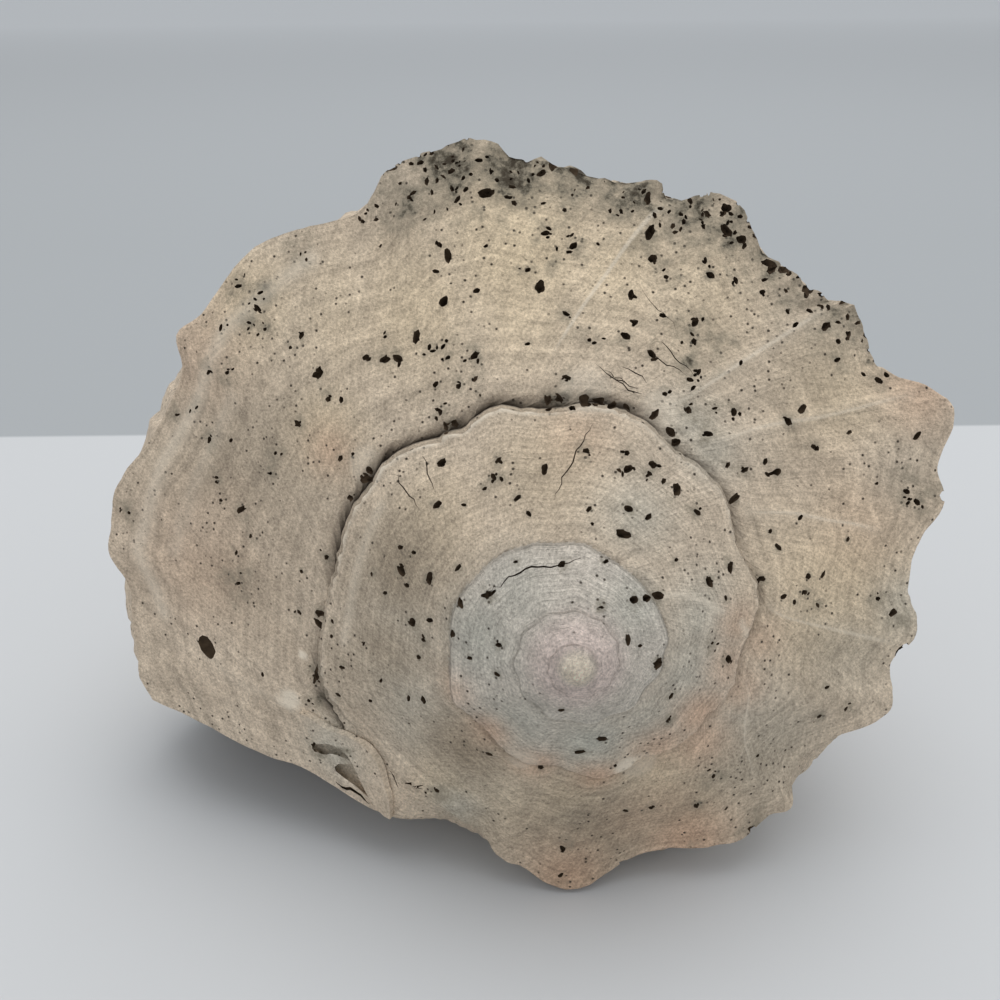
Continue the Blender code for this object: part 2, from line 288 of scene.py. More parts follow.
    def rim(self, angle: np.ndarray) -> tuple[np.ndarray, np.ndarray]:
        """Gives the rim's radius and depth, which the body whorl flares out to."""
        last = smooth(angle, *self.flare)
        depth = self.spire_rim_depth + (self.rim_depth - self.spire_rim_depth) * last
        return self.scale(angle) * self.wave(angle), self.body_scale(angle) * depth

    def suture(self, angle: np.ndarray) -> tuple[np.ndarray, np.ndarray]:
        """Gives the radius and depth of the line where a whorl joins the turn before it."""
        late = smooth(angle, *self.late_suture_span)
        under = self.wave(angle - TURN) / self.spire_rim
        radius = self.suture_radius * (under * (1.0 - late) + (1.0 + self.late_suture_out) * late)
        past = smooth(angle, self.lip, self.lip + self.past_lip_span)
        tapered = self.side_share * math.exp(-self.rate * math.tau)
        depth = self.suture_depth - self.late_suture_rise * late
        return self.scale(angle) * (radius * (1.0 - past) + tapered * past), self.scale(angle) * depth

    def canal(self, angle: np.ndarray, depth: np.ndarray) -> np.ndarray:
        """Gives the radius of the columella and of the canal wall that opens out from it."""
        along = np.clip(depth / self.tip_depth, 0.0, self.canal_taper_end)
        pillar = self.columella_top + (self.columella_tip - self.columella_top) * along
        opening = self.canal_opening * smooth(angle, *self.canal_opens)
        return pillar + opening * (1.0 - self.canal_narrowing * smooth(along, *self.canal_narrows))

    def side_radius(self, angle: np.ndarray, depth: np.ndarray) -> np.ndarray:
        """Gives the radius of the wall below the shoulder."""
        stage = self.body_scale(angle)
        places = [p[0] for p in self.body_outline]
        values = [p[1] for p in self.body_outline]
        body = stage * np.interp(depth / stage, places, values)
        power = self.body_to_canal
        return (body**power + self.canal(angle, depth) ** power) ** (1.0 / power)

    def ramp(self, angle: np.ndarray, f: np.ndarray) -> tuple[np.ndarray, np.ndarray]:
        """Gives radius and depth on the ramp, from the suture to the shoulder's rim."""
        r0, d0 = self.suture(angle)
        r1, d1 = self.rim(angle)
        last = smooth(angle, *self.flare)
        mean = self.scale(angle) * (self.spire_rim + (self.mean_rim - self.spire_rim) * last)
        slope = (d1 - d0) / (mean - r0)
        curl = (d1 - d0 - slope * (r1 - r0)) * smooth(f, self.curl_start, 1.0)
        sag = self.ramp_sag * self.scale(angle) * np.sin(math.pi * f)
        return r0 + (r1 - r0) * f, d0 + slope * (r1 - r0) * f + curl + sag

    def step(self, angle: np.ndarray, f: np.ndarray) -> tuple[np.ndarray, np.ndarray]:
        """Gives radius and depth on the steep step from the rim to where the next turn joins."""
        r1, d1 = self.rim(angle)
        r2, d2 = self.suture(angle + TURN)
        return r1 + (r2 - r1) * smooth(f, 0.0, 1.0), d1 + (d2 - d1) * f

    def side(self, angle: np.ndarray, f: np.ndarray) -> tuple[np.ndarray, np.ndarray]:
        """Gives radius and depth on the side, from the next turn's suture to the canal's tip."""
        r2, d2 = self.suture(angle + TURN)
        depth = d2 + (self.tip_depth - d2) * f
        fade = 1.0 - smooth(f, 0.0, self.seam_fade)
        return self.side_radius(angle, depth) + (r2 - self.side_radius(angle, d2)) * fade, depth

    def lean(self, angle: np.ndarray, across: np.ndarray) -> np.ndarray:
        """Gives how many degrees a growth line leans back at each place across the whorl."""
        at_lip = smooth(angle, self.lip - self.sweep_span, self.lip)
        back = self.sweep + (self.lip_sweep - self.sweep) * at_lip
        ramp = np.clip(across, 0.0, 1.0) ** self.sweep_curve
        side = eased(np.clip(across - 2.0, 0.0, 1.0), self.side_sweep)
        return back * np.where(across <= 2.0, ramp, side)

    def outline(self, angle: np.ndarray, across: np.ndarray) -> tuple[np.ndarray, np.ndarray]:
        """Gives radius and depth at a true angle and a place across the whorl."""
        f = np.clip(across, 0.0, 1.0)
        ramp_r, ramp_d = self.ramp(angle, f)
        step_r, step_d = self.step(angle, np.clip(across - 1.0, 0.0, 1.0))
        side_r, side_d = self.side(angle, np.clip(across - 2.0, 0.0, 1.0))
        radius = np.where(across <= 1.0, ramp_r, np.where(across <= 2.0, step_r, side_r))
        depth = np.where(across <= 1.0, ramp_d, np.where(across <= 2.0, step_d, side_d))
        return radius, depth

    def place(self, angle: np.ndarray, radius: np.ndarray, depth: np.ndarray) -> np.ndarray:
        """Gives points in the shell's own frame: apex at the origin, axis along +Y."""
        a = np.radians(angle)
        start, end = self.canal_sway_span
        bend = smooth(depth, start * self.tip_depth, end * self.tip_depth)
        aside, up = self.canal_sway[0] * bend, self.canal_sway[1] * bend
        return np.stack((radius * np.cos(a) + aside, depth, radius * np.sin(a) + up), axis=-1)

    def point(self, grown: np.ndarray, across: np.ndarray) -> np.ndarray:
        """Gives points of the outside, by growth line and place across the whorl."""
        angle = grown - self.lean(grown, across)
        return self.place(angle, *self.outline(angle, across))

    def trail(self, places: tuple[tuple[float, float], ...]) -> np.ndarray:
        """Gives the points of a line on the outside.

        Args:
            places: pairs of growth line and place across the whorl, in order.

        Returns:
            One row for each place.
        """
        pairs = np.array(places, float)
        return self.point(pairs[:, 0], pairs[:, 1])

    def pulled(self, points: np.ndarray) -> np.ndarray:
        """Moves the points by the soft pulls that bent the last growth at the lip.

        Args:
            points: the points, one a row.

        Returns:
            The moved points.
        """
        moved = points.copy()
        for pull in PULLS:
            centre = self.trail(((pull.grown, pull.across),))[0]
            near = 1.0 - smooth(np.linalg.norm(points - centre, axis=1), 0.0, pull.reach * MM)
            moved += near[:, None] * (np.array(pull.move) * MM)
        return moved

    def frame_at(self, grown: float, across: float) -> tuple[np.ndarray, np.ndarray, np.ndarray, np.ndarray]:
        """Finds a place on the outside and its directions.

        Args:
            grown: the growth line.
            across: the place across the whorl.

        Returns:
            The point, the way the shell grew, the way across, and the way out of the shell.
        """
        step = 0.02 if across >= 2.0 else -0.02
        rows = self.trail(((grown, across), (grown - 1.0, across), (grown, across + step)))
        onward = (rows[0] - rows[1]) / np.linalg.norm(rows[0] - rows[1])
        over = (rows[2] - rows[0]) * math.copysign(1.0, step)
        out = np.cross(onward, over)
        out /= np.linalg.norm(out)
        return rows[0], onward, np.cross(out, onward), out


# ---------------------------------------------------------------- mesh helpers


def deselect() -> None:
    """Leaves no object selected."""
    for other in bpy.context.selected_objects:
        other.select_set(False)


def activate(piece: bpy.types.Object) -> None:
    """Makes one object the only selected and the active one."""
    deselect()
    piece.select_set(True)
    bpy.context.view_layer.objects.active = piece


def coordinates(mesh: bpy.types.Mesh) -> np.ndarray:
    """Reads a mesh's vertices as an array of rows."""
    flat = np.empty(len(mesh.vertices) * 3)
    mesh.vertices.foreach_get("co", flat)
    return flat.reshape(-1, 3)


def outward_normals(mesh: bpy.types.Mesh) -> np.ndarray:
    """Reads a mesh's vertex normals as an array of rows."""
    flat = np.empty(len(mesh.vertices) * 3)
    mesh.vertices.foreach_get("normal", flat)
    return flat.reshape(-1, 3)


def write_coordinates(mesh: bpy.types.Mesh, points: np.ndarray) -> None:
    """Writes a mesh's vertices from an array of rows."""
    mesh.vertices.foreach_set("co", np.ascontiguousarray(points, dtype=np.float64).ravel())
    mesh.update()


def zip_together(mesh: bmesh.types.BMesh, one: list, two: list) -> None:
    """Fills between two rows of vertices that may start at the same vertex.

    Args:
        mesh: the mesh that takes the triangles.
        one: the first row.
        two: the second row.
    """
    i = j = 0
    while i < len(one) - 1 or j < len(two) - 1:
        ahead_one = (i + 1) / len(one) if i < len(one) - 1 else math.inf
        ahead_two = (j + 1) / len(two) if j < len(two) - 1 else math.inf
        if ahead_one <= ahead_two:
            corners = (one[i], two[j], one[i + 1])
            i += 1
        else:
            corners = (one[i], two[j], two[j + 1])
            j += 1
        if len(set(corners)) == 3:
            mesh.faces.new(corners)


def object_of(mesh: bpy.types.Mesh) -> bpy.types.Object:
    """Puts a mesh in the scene as an object of the same name."""
    piece = bpy.data.objects.new(mesh.name, mesh)
    bpy.context.scene.collection.objects.link(piece)
    return piece


def sweep_rings(sheet: bmesh.types.BMesh, rings: list[list]) -> None:
    """Joins rings of vertices one to the next and closes both ends.

    Args:
        sheet: the mesh that takes the faces.
        rings: the rings, each with as many vertices as the others.
    """
    for left, right in zip(rings, rings[1:]):
        for a, b, c, d in zip(left, left[1:] + left[:1], right[1:] + right[:1], right):
            sheet.faces.new((a, b, c, d))
    sheet.faces.new(rings[0])
    sheet.faces.new(rings[-1][::-1])


class Slot(Enum):
    """The shell's material slots."""

    OUTSIDE = 0
    LINING = 1
    # The insides of the borings and cracks: dirt, darkened further as painted shade.
    DIRT_AND_SHADE = 2


def combine(piece: bpy.types.Object, cutter: bpy.types.Object, name: str,
            operation: str = "DIFFERENCE") -> None:
    """Takes another shape out of a piece, or joins it to the piece, and removes the other.

    Args:
        piece: the piece to change.
        cutter: the other shape, a closed mesh.
        name: the modifier's name.
        operation: DIFFERENCE to take it out or UNION to join it.
    """
    for mesh in (piece.data, cutter.data):
        while len(mesh.materials) < len(Slot):
            mesh.materials.append(None)
    modifier = piece.modifiers.new(name, "BOOLEAN")
    modifier.operation = operation
    modifier.solver = "MANIFOLD"
    modifier.object = cutter
    activate(piece)
    bpy.ops.object.modifier_apply(modifier=name)
    bpy.data.objects.remove(cutter)


# ---------------------------------------------------------------- the shell


@dataclass(frozen=True)
class Lying:
    """How the shell lies: the turn of its axes and the place of its apex."""

    nose_up: float = -12.618
    roll: float = 0.234
    nipple_inset: float = 0.00085

    def matrix(self, cad: bpy.types.Object) -> Matrix:
        """Finds the shell's place from the CAD solid.

        Args:
            cad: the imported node, whose foremost vertex is the shell's apex.

        Returns:
            The matrix from the shell's own frame to the world.
        """
        turn = Euler((math.radians(self.nose_up), math.radians(self.roll), 0.0)).to_matrix()
        foremost = min((v.co for v in cad.data.vertices), key=lambda co: co.y)
        apex = foremost - turn @ Vector((0.0, self.nipple_inset, 0.0))
        return Matrix.Translation(apex) @ turn.to_4x4()


@dataclass
class WhelkShell:
    """The whole shell as one piece.

    The rows crowd together at the suture and the rim, and spread down the side. A seam's two edges are
    welded where they are closer than the seam's gap.
    """

    growth: Growth
    place: Matrix
    lip_columns: int = 480
    turns: int = 5
    sharp_angle: float = 40.0
    ramp_rows: int = 36
    step_rows: int = 7
    side_rows: int = 60
    crowding: float = 0.4
    side_spread: float = 1.35
    least_gap: float = 0.00001
    seam_gap: float = 0.000003

    def build(self) -> bpy.types.Object:
        """Builds, hollows, bores and dresses the shell."""
        wall = self.outer_wall()
        weather(wall, self.growth)
        outside = coordinates(wall.data)
        tints = {name: self.noted(wall.data, name) for name in TINTS}
        for lamina in LAMINAE:
            operation = "UNION" if lamina.height > 0.0 else "DIFFERENCE"
            combine(wall, lamina.build(self.growth), "lamina", operation)
        combine(wall, Hollow(self.growth).build(), "hollow")
        for cutter in Borings(self.growth).build():
            combine(wall, cutter, "borings")
        combine(wall, Cracks(self.growth).build(), "cracks")
        self.spread(wall.data, outside, tints)
        wall.data.transform(self.place)
        points = coordinates(wall.data)
        points[:, 2] = np.maximum(points[:, 2], 0.0)
        write_coordinates(wall.data, points)
        activate(wall)
        bpy.ops.object.shade_smooth_by_angle(angle=math.radians(self.sharp_angle))
        for slot, finish in zip(Slot, (chalky_aragonite(), porcelain_lining(), bore_dirt_and_shade())):
            wall.data.materials[slot.value] = finish
        return wall

    def column_angles(self) -> np.ndarray:
        """Gives the growth line of each column, twice as close on each turn as on the one before."""
        angles = [self.growth.lip]
        for turn in range(self.turns):
            spacing = TURN / self.lip_columns * 2**turn
            angles += [angles[-1] - spacing * (i + 1) for i in range(self.lip_columns // 2**turn)]
        return np.array(angles[::-1])

    def row_places(self) -> np.ndarray:
        """Gives each row's place across the whorl, closer together at the suture and the rim."""
        t = np.linspace(0.0, 1.0, self.ramp_rows + 1)
        ramp = t - self.crowding * np.sin(math.tau * t) / math.tau
        step = np.linspace(1.0, 2.0, self.step_rows + 1)[1:]
        side = 2.0 + np.linspace(0.0, 1.0, self.side_rows + 1)[1:] ** self.side_spread
        return np.concatenate((ramp, step, side))

    def outer_wall(self) -> bpy.types.Object:
        """Builds the outside as one closed mesh, with plain faces across the aperture."""
        angles, places = self.column_angles(), self.row_places()
        columns, rows = len(angles), len(places)
        bpy.ops.mesh.primitive_grid_add(x_subdivisions=columns - 1, y_subdivisions=rows - 1, size=1.0)
        wall = bpy.context.object
        wall.name = "whelk_shell"
        mesh = wall.data
        flat = coordinates(mesh)
        column = np.rint((flat[:, 0] + 0.5) * (columns - 1)).astype(int)
        row = np.rint((flat[:, 1] + 0.5) * (rows - 1)).astype(int)
        write_coordinates(mesh, self.growth.point(angles[column], places[row]))
        self.note(mesh, "grown", angles[column])
        self.note(mesh, "across", places[row])
        self.write_growth_map(mesh)
        self.close_outer(mesh, column, row, columns, rows)
        return wall

    @staticmethod
    def note(mesh: bpy.types.Mesh, name: str, values: np.ndarray) -> None:
        """Stores one number on each vertex."""
        mesh.attributes.new(name, "FLOAT", "POINT").data.foreach_set("value", values.astype(np.float32))

    @staticmethod
    def noted(mesh: bpy.types.Mesh, name: str) -> np.ndarray:
        """Reads one number from each vertex."""
        values = np.empty(len(mesh.vertices), np.float32)
        mesh.attributes[name].data.foreach_get("value", values)
        return values.astype(float)

    def spread(self, mesh: bpy.types.Mesh, outside: np.ndarray, tints: dict[str, np.ndarray]) -> None:
        """Reads the tints again at every vertex, from the three nearest of the outside before it was cut.

        Args:
            mesh: the cut shell.
            outside: the vertices from before, one a row.
            tints: each tint at those vertices.
        """
        tree = KDTree(len(outside))
        for i, point in enumerate(outside):
            tree.insert(point, i)
        tree.balance()
        found = np.array([[(near, gap) for _, near, gap in tree.find_n(point, 3)]
                          for point in coordinates(mesh)])
        nearest = found[..., 0].astype(int)
        share = 1.0 / (found[..., 1] + self.least_gap)
        share /= share.sum(axis=1, keepdims=True)
        for name, values in tints.items():
            mesh.attributes.remove(mesh.attributes[name])
            self.note(mesh, name, (values[nearest] * share).sum(axis=1))

    def write_growth_map(self, mesh: bpy.types.Mesh) -> None:
        """Writes the UV map that says where on the growth each face corner is."""
        corner_vertex = np.empty(len(mesh.loops), int)
        mesh.loops.foreach_get("vertex_index", corner_vertex)
        pair = np.stack((self.noted(mesh, "grown") / TURN, self.noted(mesh, "across")), axis=-1)
        layer = mesh.uv_layers[0]
        layer.name = "growth"
        layer.uv.foreach_set("vector", pair[corner_vertex].astype(np.float32).ravel())

    def close_outer(self, mesh: bpy.types.Mesh, column: np.ndarray, row: np.ndarray,
                    columns: int, rows: int) -> None:
        """Cuts the sheet to the shell's shape, joins its turns and closes its ends.

        Args:
            mesh: the sheet.
            column: each vertex's column.
            row: each vertex's row.
            columns: how many columns there are.
            rows: how many rows there are.
        """
        seam = self.ramp_rows + self.step_rows
        body = columns - 1 - self.lip_columns + round(self.growth.sweep / TURN * self.lip_columns)
        sheet = bmesh.new()
        sheet.from_mesh(mesh)
        sheet.verts.ensure_lookup_table()
        at = {(c, r): vertex for c, r, vertex in zip(column, row, sheet.verts)}
        hidden = [vertex for (c, r), vertex in at.items() if r > seam and c < body]
        bmesh.ops.delete(sheet, geom=hidden, context="VERTS")
        seams = KDTree(body + 1)
        for c in range(body + 1):
            seams.insert(at[c, seam].co, c)
        seams.balance()
        merged = {}
        for c in range(columns):
            _, under, gap = seams.find(at[c, 0].co)
            if gap < self.seam_gap:
                merged[at[c, 0]] = at[under, seam]
        last = [at[columns - 1, r] for r in range(rows)]
        last[0] = merged.get(last[0], last[0])
        first_side = [at[body, r] for r in range(seam, rows)]
        tips = [at[c, rows - 1] for c in range(body, columns)]
        bmesh.ops.weld_verts(sheet, targetmap=merged)
        bmesh.ops.holes_fill(sheet, edges=[e for e in sheet.edges if e.is_boundary], sides=3)
        zip_together(sheet, last, first_side)
        centre = sheet.verts.new(sum((v.co for v in tips), Vector()) / len(tips))
        for a, b in zip(tips, tips[1:] + tips[:1]):
            sheet.faces.new((a, b, centre))
        bmesh.ops.holes_fill(sheet, edges=[e for e in sheet.edges if e.is_boundary], sides=0)
        bmesh.ops.recalc_face_normals(sheet, faces=sheet.faces)
        log.info("open edges on the outside: %d", sum(not e.is_manifold for e in sheet.edges))
        sheet.to_mesh(mesh)
        sheet.free()


@dataclass(frozen=True)
class Hollow:
    """The winding cavity, from its inner end to past the lip."""

    growth: Growth
    wall: float = 0.0031
    lip_wall: float = 0.0022
    wall_span: float = 30.0
    side_thinning: float = 0.25
    callus: float = 0.0007
    start: float = 45.0
    past_lip: float = 36.0
    lift_past_lip: float = 0.004
    lift_span: float = 40.0
    past_tip: float = 0.006
    narrowest: float = 0.0008
    roof_walls: float = 1.25
    corner_drop: float = 0.0004
    spacing: float = 4.0
    side_spread: float = 1.3
    weld: float = 0.00002
    ramp_places: tuple[float, ...] = (0.1, 0.2, 0.32, 0.45, 0.59, 0.72, 0.82, 0.9, 0.96)
    roof_place: float = 0.2
    side_count: int = 22
    inner_count: int = 24
    samples: int = 150
    near_samples: int = 120

    def thickness(self, angle: float, across: np.ndarray) -> np.ndarray:
        """Gives the wall's thickness, thinner towards the lip and the canal's tip."""
        at_lip = self.growth.lip - self.growth.lean(np.full_like(across, self.growth.lip), across)
        wall = self.lip_wall + (self.wall - self.lip_wall) * smooth(at_lip - angle, 0.0, self.wall_span)
        return wall * (1.0 - self.side_thinning * np.clip(across - 2.0, 0.0, 1.0))

    def near_side(self, angle: float, depth: np.ndarray) -> np.ndarray:
        """Gives the radius of the cavity's near side: the turn before it, under a thin callus."""
        shares = np.linspace(0.0, 1.0, self.near_samples)
        radii, depths = self.growth.side(np.full_like(shares, angle - TURN), shares)
        lift = self.lift_past_lip * smooth(angle, self.growth.lip, self.growth.lip + self.lift_span)
        return np.interp(depth, depths, radii) + self.callus + lift

    def section(self, angle: float) -> np.ndarray:
        """Gives radius and depth of the points round the cavity at one true angle."""
        over = np.array(self.ramp_places)
        radius, depth = self.growth.ramp(np.full_like(over, angle), over)
        roof = np.stack((radius, depth + self.thickness(angle, over)), axis=-1)
        rim_wall = self.thickness(angle, np.ones(1))
        radius, depth = self.growth.ramp(np.full(1, angle), np.ones(1))
        corner = np.stack((radius - rim_wall, depth + rim_wall), axis=-1)
        shares = np.linspace(0.02, 1.0, self.samples)
        radii, depths = self.growth.side(np.full_like(shares, angle), shares)
        room = radii - self.thickness(angle, 2.0 + shares) - self.near_side(angle, depths)
        closed = np.flatnonzero(room < self.narrowest)
        closing = 1.0
        if len(closed):
            last = max(closed[0], 1)
            closing = np.interp(self.narrowest, room[[last, last - 1]], shares[[last, last - 1]])
        opening = np.interp(corner[0, 1] + self.corner_drop, depths, shares)
        shares = opening + (closing - opening) * np.linspace(0.0, 1.0, self.side_count) ** self.side_spread
        radii, depths = self.growth.side(np.full_like(shares, angle), shares)
        far = np.stack((radii - self.thickness(angle, 2.0 + shares), depths), axis=-1)
        bottom = far[-1, 1] if len(closed) else self.growth.tip_depth + self.past_tip
        end = np.array([[far[-1, 0], bottom]])
        roof_wall = self.thickness(angle, np.array([self.roof_place]))[0]
        top = self.growth.suture(np.full(1, angle))[1][0] + self.roof_walls * roof_wall
        heights = bottom + (top - bottom) * np.linspace(0.0, 1.0, self.inner_count + 1)[1:]
        near = np.stack((self.near_side(angle, heights), heights), axis=-1)
        return np.concatenate((roof, corner, far, end, near))

    def build(self) -> bpy.types.Object:
        """Builds the cavity as one closed mesh in the shell's own frame."""
        count = round((self.growth.lip + self.past_lip - self.start) / self.spacing)
        angles = self.start + self.spacing * np.arange(count + 1)
        sections = [self.section(float(angle)) for angle in angles]
        size = len(sections[0])
        bpy.ops.mesh.primitive_grid_add(x_subdivisions=count, y_subdivisions=size, size=1.0)
        hollow = bpy.context.object
        hollow.name = "hollow"
        mesh = hollow.data
        flat = coordinates(mesh)
        column = np.rint((flat[:, 0] + 0.5) * count).astype(int)
        row = np.rint((flat[:, 1] + 0.5) * size).astype(int) % size
        points = np.array(sections)[column, row]
        write_coordinates(mesh, self.growth.place(angles[column], points[:, 0], points[:, 1]))
        far_side = len(self.ramp_places) + 1 + self.side_count + 1
        sheet = bmesh.new()
        sheet.from_mesh(mesh)
        bmesh.ops.remove_doubles(sheet, verts=sheet.verts, dist=self.weld)
        tree = KDTree(len(sheet.verts))
        for vertex in sheet.verts:
            tree.insert(vertex.co, vertex.index)
        tree.balance()
        sheet.verts.ensure_lookup_table()
        for end in (0, count):
            rim = self.growth.place(np.full(size, angles[end]), sections[end][:, 0], sections[end][:, 1])
            loop = list(dict.fromkeys(sheet.verts[tree.find(point)[1]] for point in rim))
            zip_together(sheet, loop[:far_side], loop[: far_side - 1 : -1])
        bmesh.ops.recalc_face_normals(sheet, faces=sheet.faces)
        log.info("open edges on the hollow: %d", sum(not e.is_manifold for e in sheet.edges))
        for face in sheet.faces:
            face.material_index = Slot.LINING.value
        sheet.to_mesh(mesh)
        sheet.free()
        return hollow


# ---------------------------------------------------------------- weather, damage and tints


@dataclass(frozen=True)
class Trail:
    """A ridge along a line on the shell.

    The places are pairs of growth line and place across the whorl. Sizes are in millimetres. Chalk and
    fresh are strengths: how pale the ridge is, and how clear the straight line scratched along it is.
    """

    places: tuple[tuple[float, float], ...]
    height: float
    width: float
    chalk: float = 0.0
    fresh: float = 0.0


@dataclass(frozen=True)
class Pull:
    """A soft move of all that is near a place, in millimetres in the shell's own directions."""

    grown: float
    across: float
    reach: float
    move: tuple[float, float, float]


SCARS = (
    Trail(((468.0, 0.2), (470.0, 0.55), (472.0, 0.93)), 0.15, 0.8, 0.0, 0.5),
    Trail(((436.0, 0.08), (440.5, 0.5), (445.0, 0.92)), 0.4, 1.0, 0.15, 0.42),
    Trail(((422.5, 0.12), (425.5, 0.55), (427.5, 0.93)), 0.35, 1.2, 0.1, 0.3),
    Trail(((401.0, 0.08), (402.0, 0.32), (403.0, 0.65)), 0.15, 0.8, 0.1, 0.3),
    Trail(((372.0, 0.05), (380.0, 0.45), (387.5, 0.9)), 0.12, 0.9, 0.1, 0.3),
    Trail(((348.0, 0.05), (346.0, 0.3), (344.5, 0.6)), 0.15, 0.8, 0.1, 0.3),
    Trail(((575.0, 0.25), (576.0, 0.45), (574.5, 0.62)), 0.35, 1.2, 0.1),
    Trail(((40.0, 0.06), (42.0, 0.3), (36.0, 0.6)), 0.12, 0.45, 0.5),
    Trail(((37.0, 0.5), (31.0, 0.45), (24.0, 0.4)), 0.1, 0.45, 0.5),
    Trail(((36.0, 0.85), (34.0, 0.98)), 0.15, 0.5, 0.5),
    Trail(((520.0, 0.86), (535.0, 0.87), (545.0, 0.87), (555.0, 0.87), (566.0, 0.86), (574.0, 0.82)),
          0.25, 1.3, 0.4),
    Trail(((538.0, 0.7), (550.0, 0.71), (562.0, 0.7)), 0.12, 1.1, 0.2),
    Trail(((182.0, 0.85), (200.0, 0.83), (220.0, 0.82)), 0.15, 0.9, 0.3),
)


@dataclass(frozen=True)
class Lamina:
    """A thin leaf of late growth at the lip, which lies on the shell and ends in a raised edge.

    Each pair holds a place at its root and the place at its edge across from it, as growth line and
    place across the whorl. The height is in millimetres, and a negative one is the depth of a scoop
    that is broken out under such an edge.
    """

    pairs: tuple[tuple[tuple[float, float], tuple[float, float]], ...]
    height: float
    stations: int = 44

    def build(self, growth: Growth) -> bpy.types.Object:
        """Builds the leaf, or the shape of the scoop, as one closed wedge.

        Args:
            growth: the growth law.

        Returns:
            The wedge.
        """
        leaf = bmesh.new()
        roots, edges = (self.points(growth, k) for k in (0, 1))
        rings = []
        for i, ((root, up), (edge, out)) in enumerate(zip(roots, edges)):
            ring = [root + (edge - root) * share + (up + (out - up) * share) * (lift * MM)
                    for share, lift in self.profile(i)]
            rings.append([leaf.verts.new(point) for point in growth.pulled(np.array(ring))])
        sweep_rings(leaf, rings)
        bmesh.ops.triangulate(leaf, faces=leaf.faces)
        bmesh.ops.recalc_face_normals(leaf, faces=leaf.faces)
        mesh = bpy.data.meshes.new("lamina")
        leaf.to_mesh(mesh)
        leaf.free()
        return object_of(mesh)

    def profile(self, station: int) -> tuple[tuple[float, float], ...]:
        """Gives the wedge's cross-section at one station: share of the way out, and height in millimetres.

        The wedge rises over the first sixth of its length, falls over the last eighth, and its edge is
        ragged by up to 0.3 mm.
        """
        t = station / (self.stations - 1)
        rise = self.height * min(1.0, 6.0 * t, 8.0 * (1.0 - t) + 0.3)
        ragged = 0.3 * float(rough(np.array([station / 1.7]), np.array([0.0]), 81, 3)[0])
        if self.height < 0.0:
            return ((-0.25, 0.8), (0.4, 0.25 * rise), (0.9, rise + 0.4 * ragged), (1.0, 0.5 * rise),
                    (1.04, 0.4), (0.95, 1.3), (-0.25, 1.3))
        return ((0.0, -0.3), (0.12, 0.15), (0.4, 0.5 * rise + 0.2), (0.8, 0.9 * rise + 0.2),
                (1.0, rise + ragged), (0.96, -0.9), (0.1, -1.2))

    def points(self, growth: Growth, end: int) -> list[tuple[np.ndarray, np.ndarray]]:
        """Finds where the leaf's root or edge runs.

        Args:
            growth: the growth law.
            end: 0 for the root and 1 for the edge.

        Returns:
            A point and the way out of the shell there, for each station.
        """
        known = [growth.frame_at(*pair[end]) for pair in self.pairs]
        steps = np.arange(len(known), dtype=float)
        stops = np.linspace(0.0, steps[-1], self.stations)
        spots, outs = (np.stack([curved(stops, tuple(zip(steps, [float(frame[k][axis]) for frame in known])))
                                 for axis in range(3)], axis=-1) for k in (0, 3))
        return list(zip(spots, outs))


LAMINAE = (
    Lamina((
        ((574.0, 0.15), (574.6, 0.165)), ((573.0, 0.107), (577.5, 0.17)), ((573.0, 0.043), (581.0, 0.157)),
        ((246.5, 1.643), (579.5, 0.11)), ((249.0, 1.286), (578.5, 0.079)), ((251.0, 0.986), (577.5, 0.029)),
        ((253.5, 0.979), (578.0, 0.01)), ((256.5, 1.0), (580.5, 0.006)), ((260.0, 1.357), (584.5, 0.006)),
        ((263.0, 1.5), (587.0, 0.006)), ((266.0, 1.786), (589.8, 0.006)),
    ), 1.9),
    Lamina((
        ((584.5, 0.207), (582.5, 0.186)), ((585.0, 0.179), (580.0, 0.129)), ((583.5, 0.121), (577.8, 0.064)),
        ((581.0, 0.057), (577.6, 0.029)), ((579.0, 0.014), (577.5, 0.008)),
    ), -1.35),
    Lamina((
        ((586.0, 0.164), (582.5, 0.09)), ((587.5, 0.157), (580.0, 0.025)), ((587.0, 0.114), (581.0, 0.01)),
        ((586.0, 0.064), (583.0, 0.01)), ((586.0, 0.02), (585.5, 0.008)),
    ), -1.25),
)
PULLS = (Pull(590.0, 0.05, 14.0, (0.0, -0.55, -2.6)),)

# How deep the crack between the whorls is, in millimetres, by the growth line that it lies under.
CREVICE = (
    (-900.0, 0.05), (-300.0, 0.12), (60.0, 0.25), (240.0, 0.3), (300.0, 0.2), (380.0, 0.35), (420.0, 0.45),
    (434.0, 0.7), (445.0, 1.2), (470.0, 1.3), (500.0, 1.3), (515.0, 1.0), (525.0, 0.6), (540.0, 0.35),
    (560.0, 0.35), (568.0, 0.9), (574.0, 0.6), (580.0, 0.1), (590.0, 0.0),
)

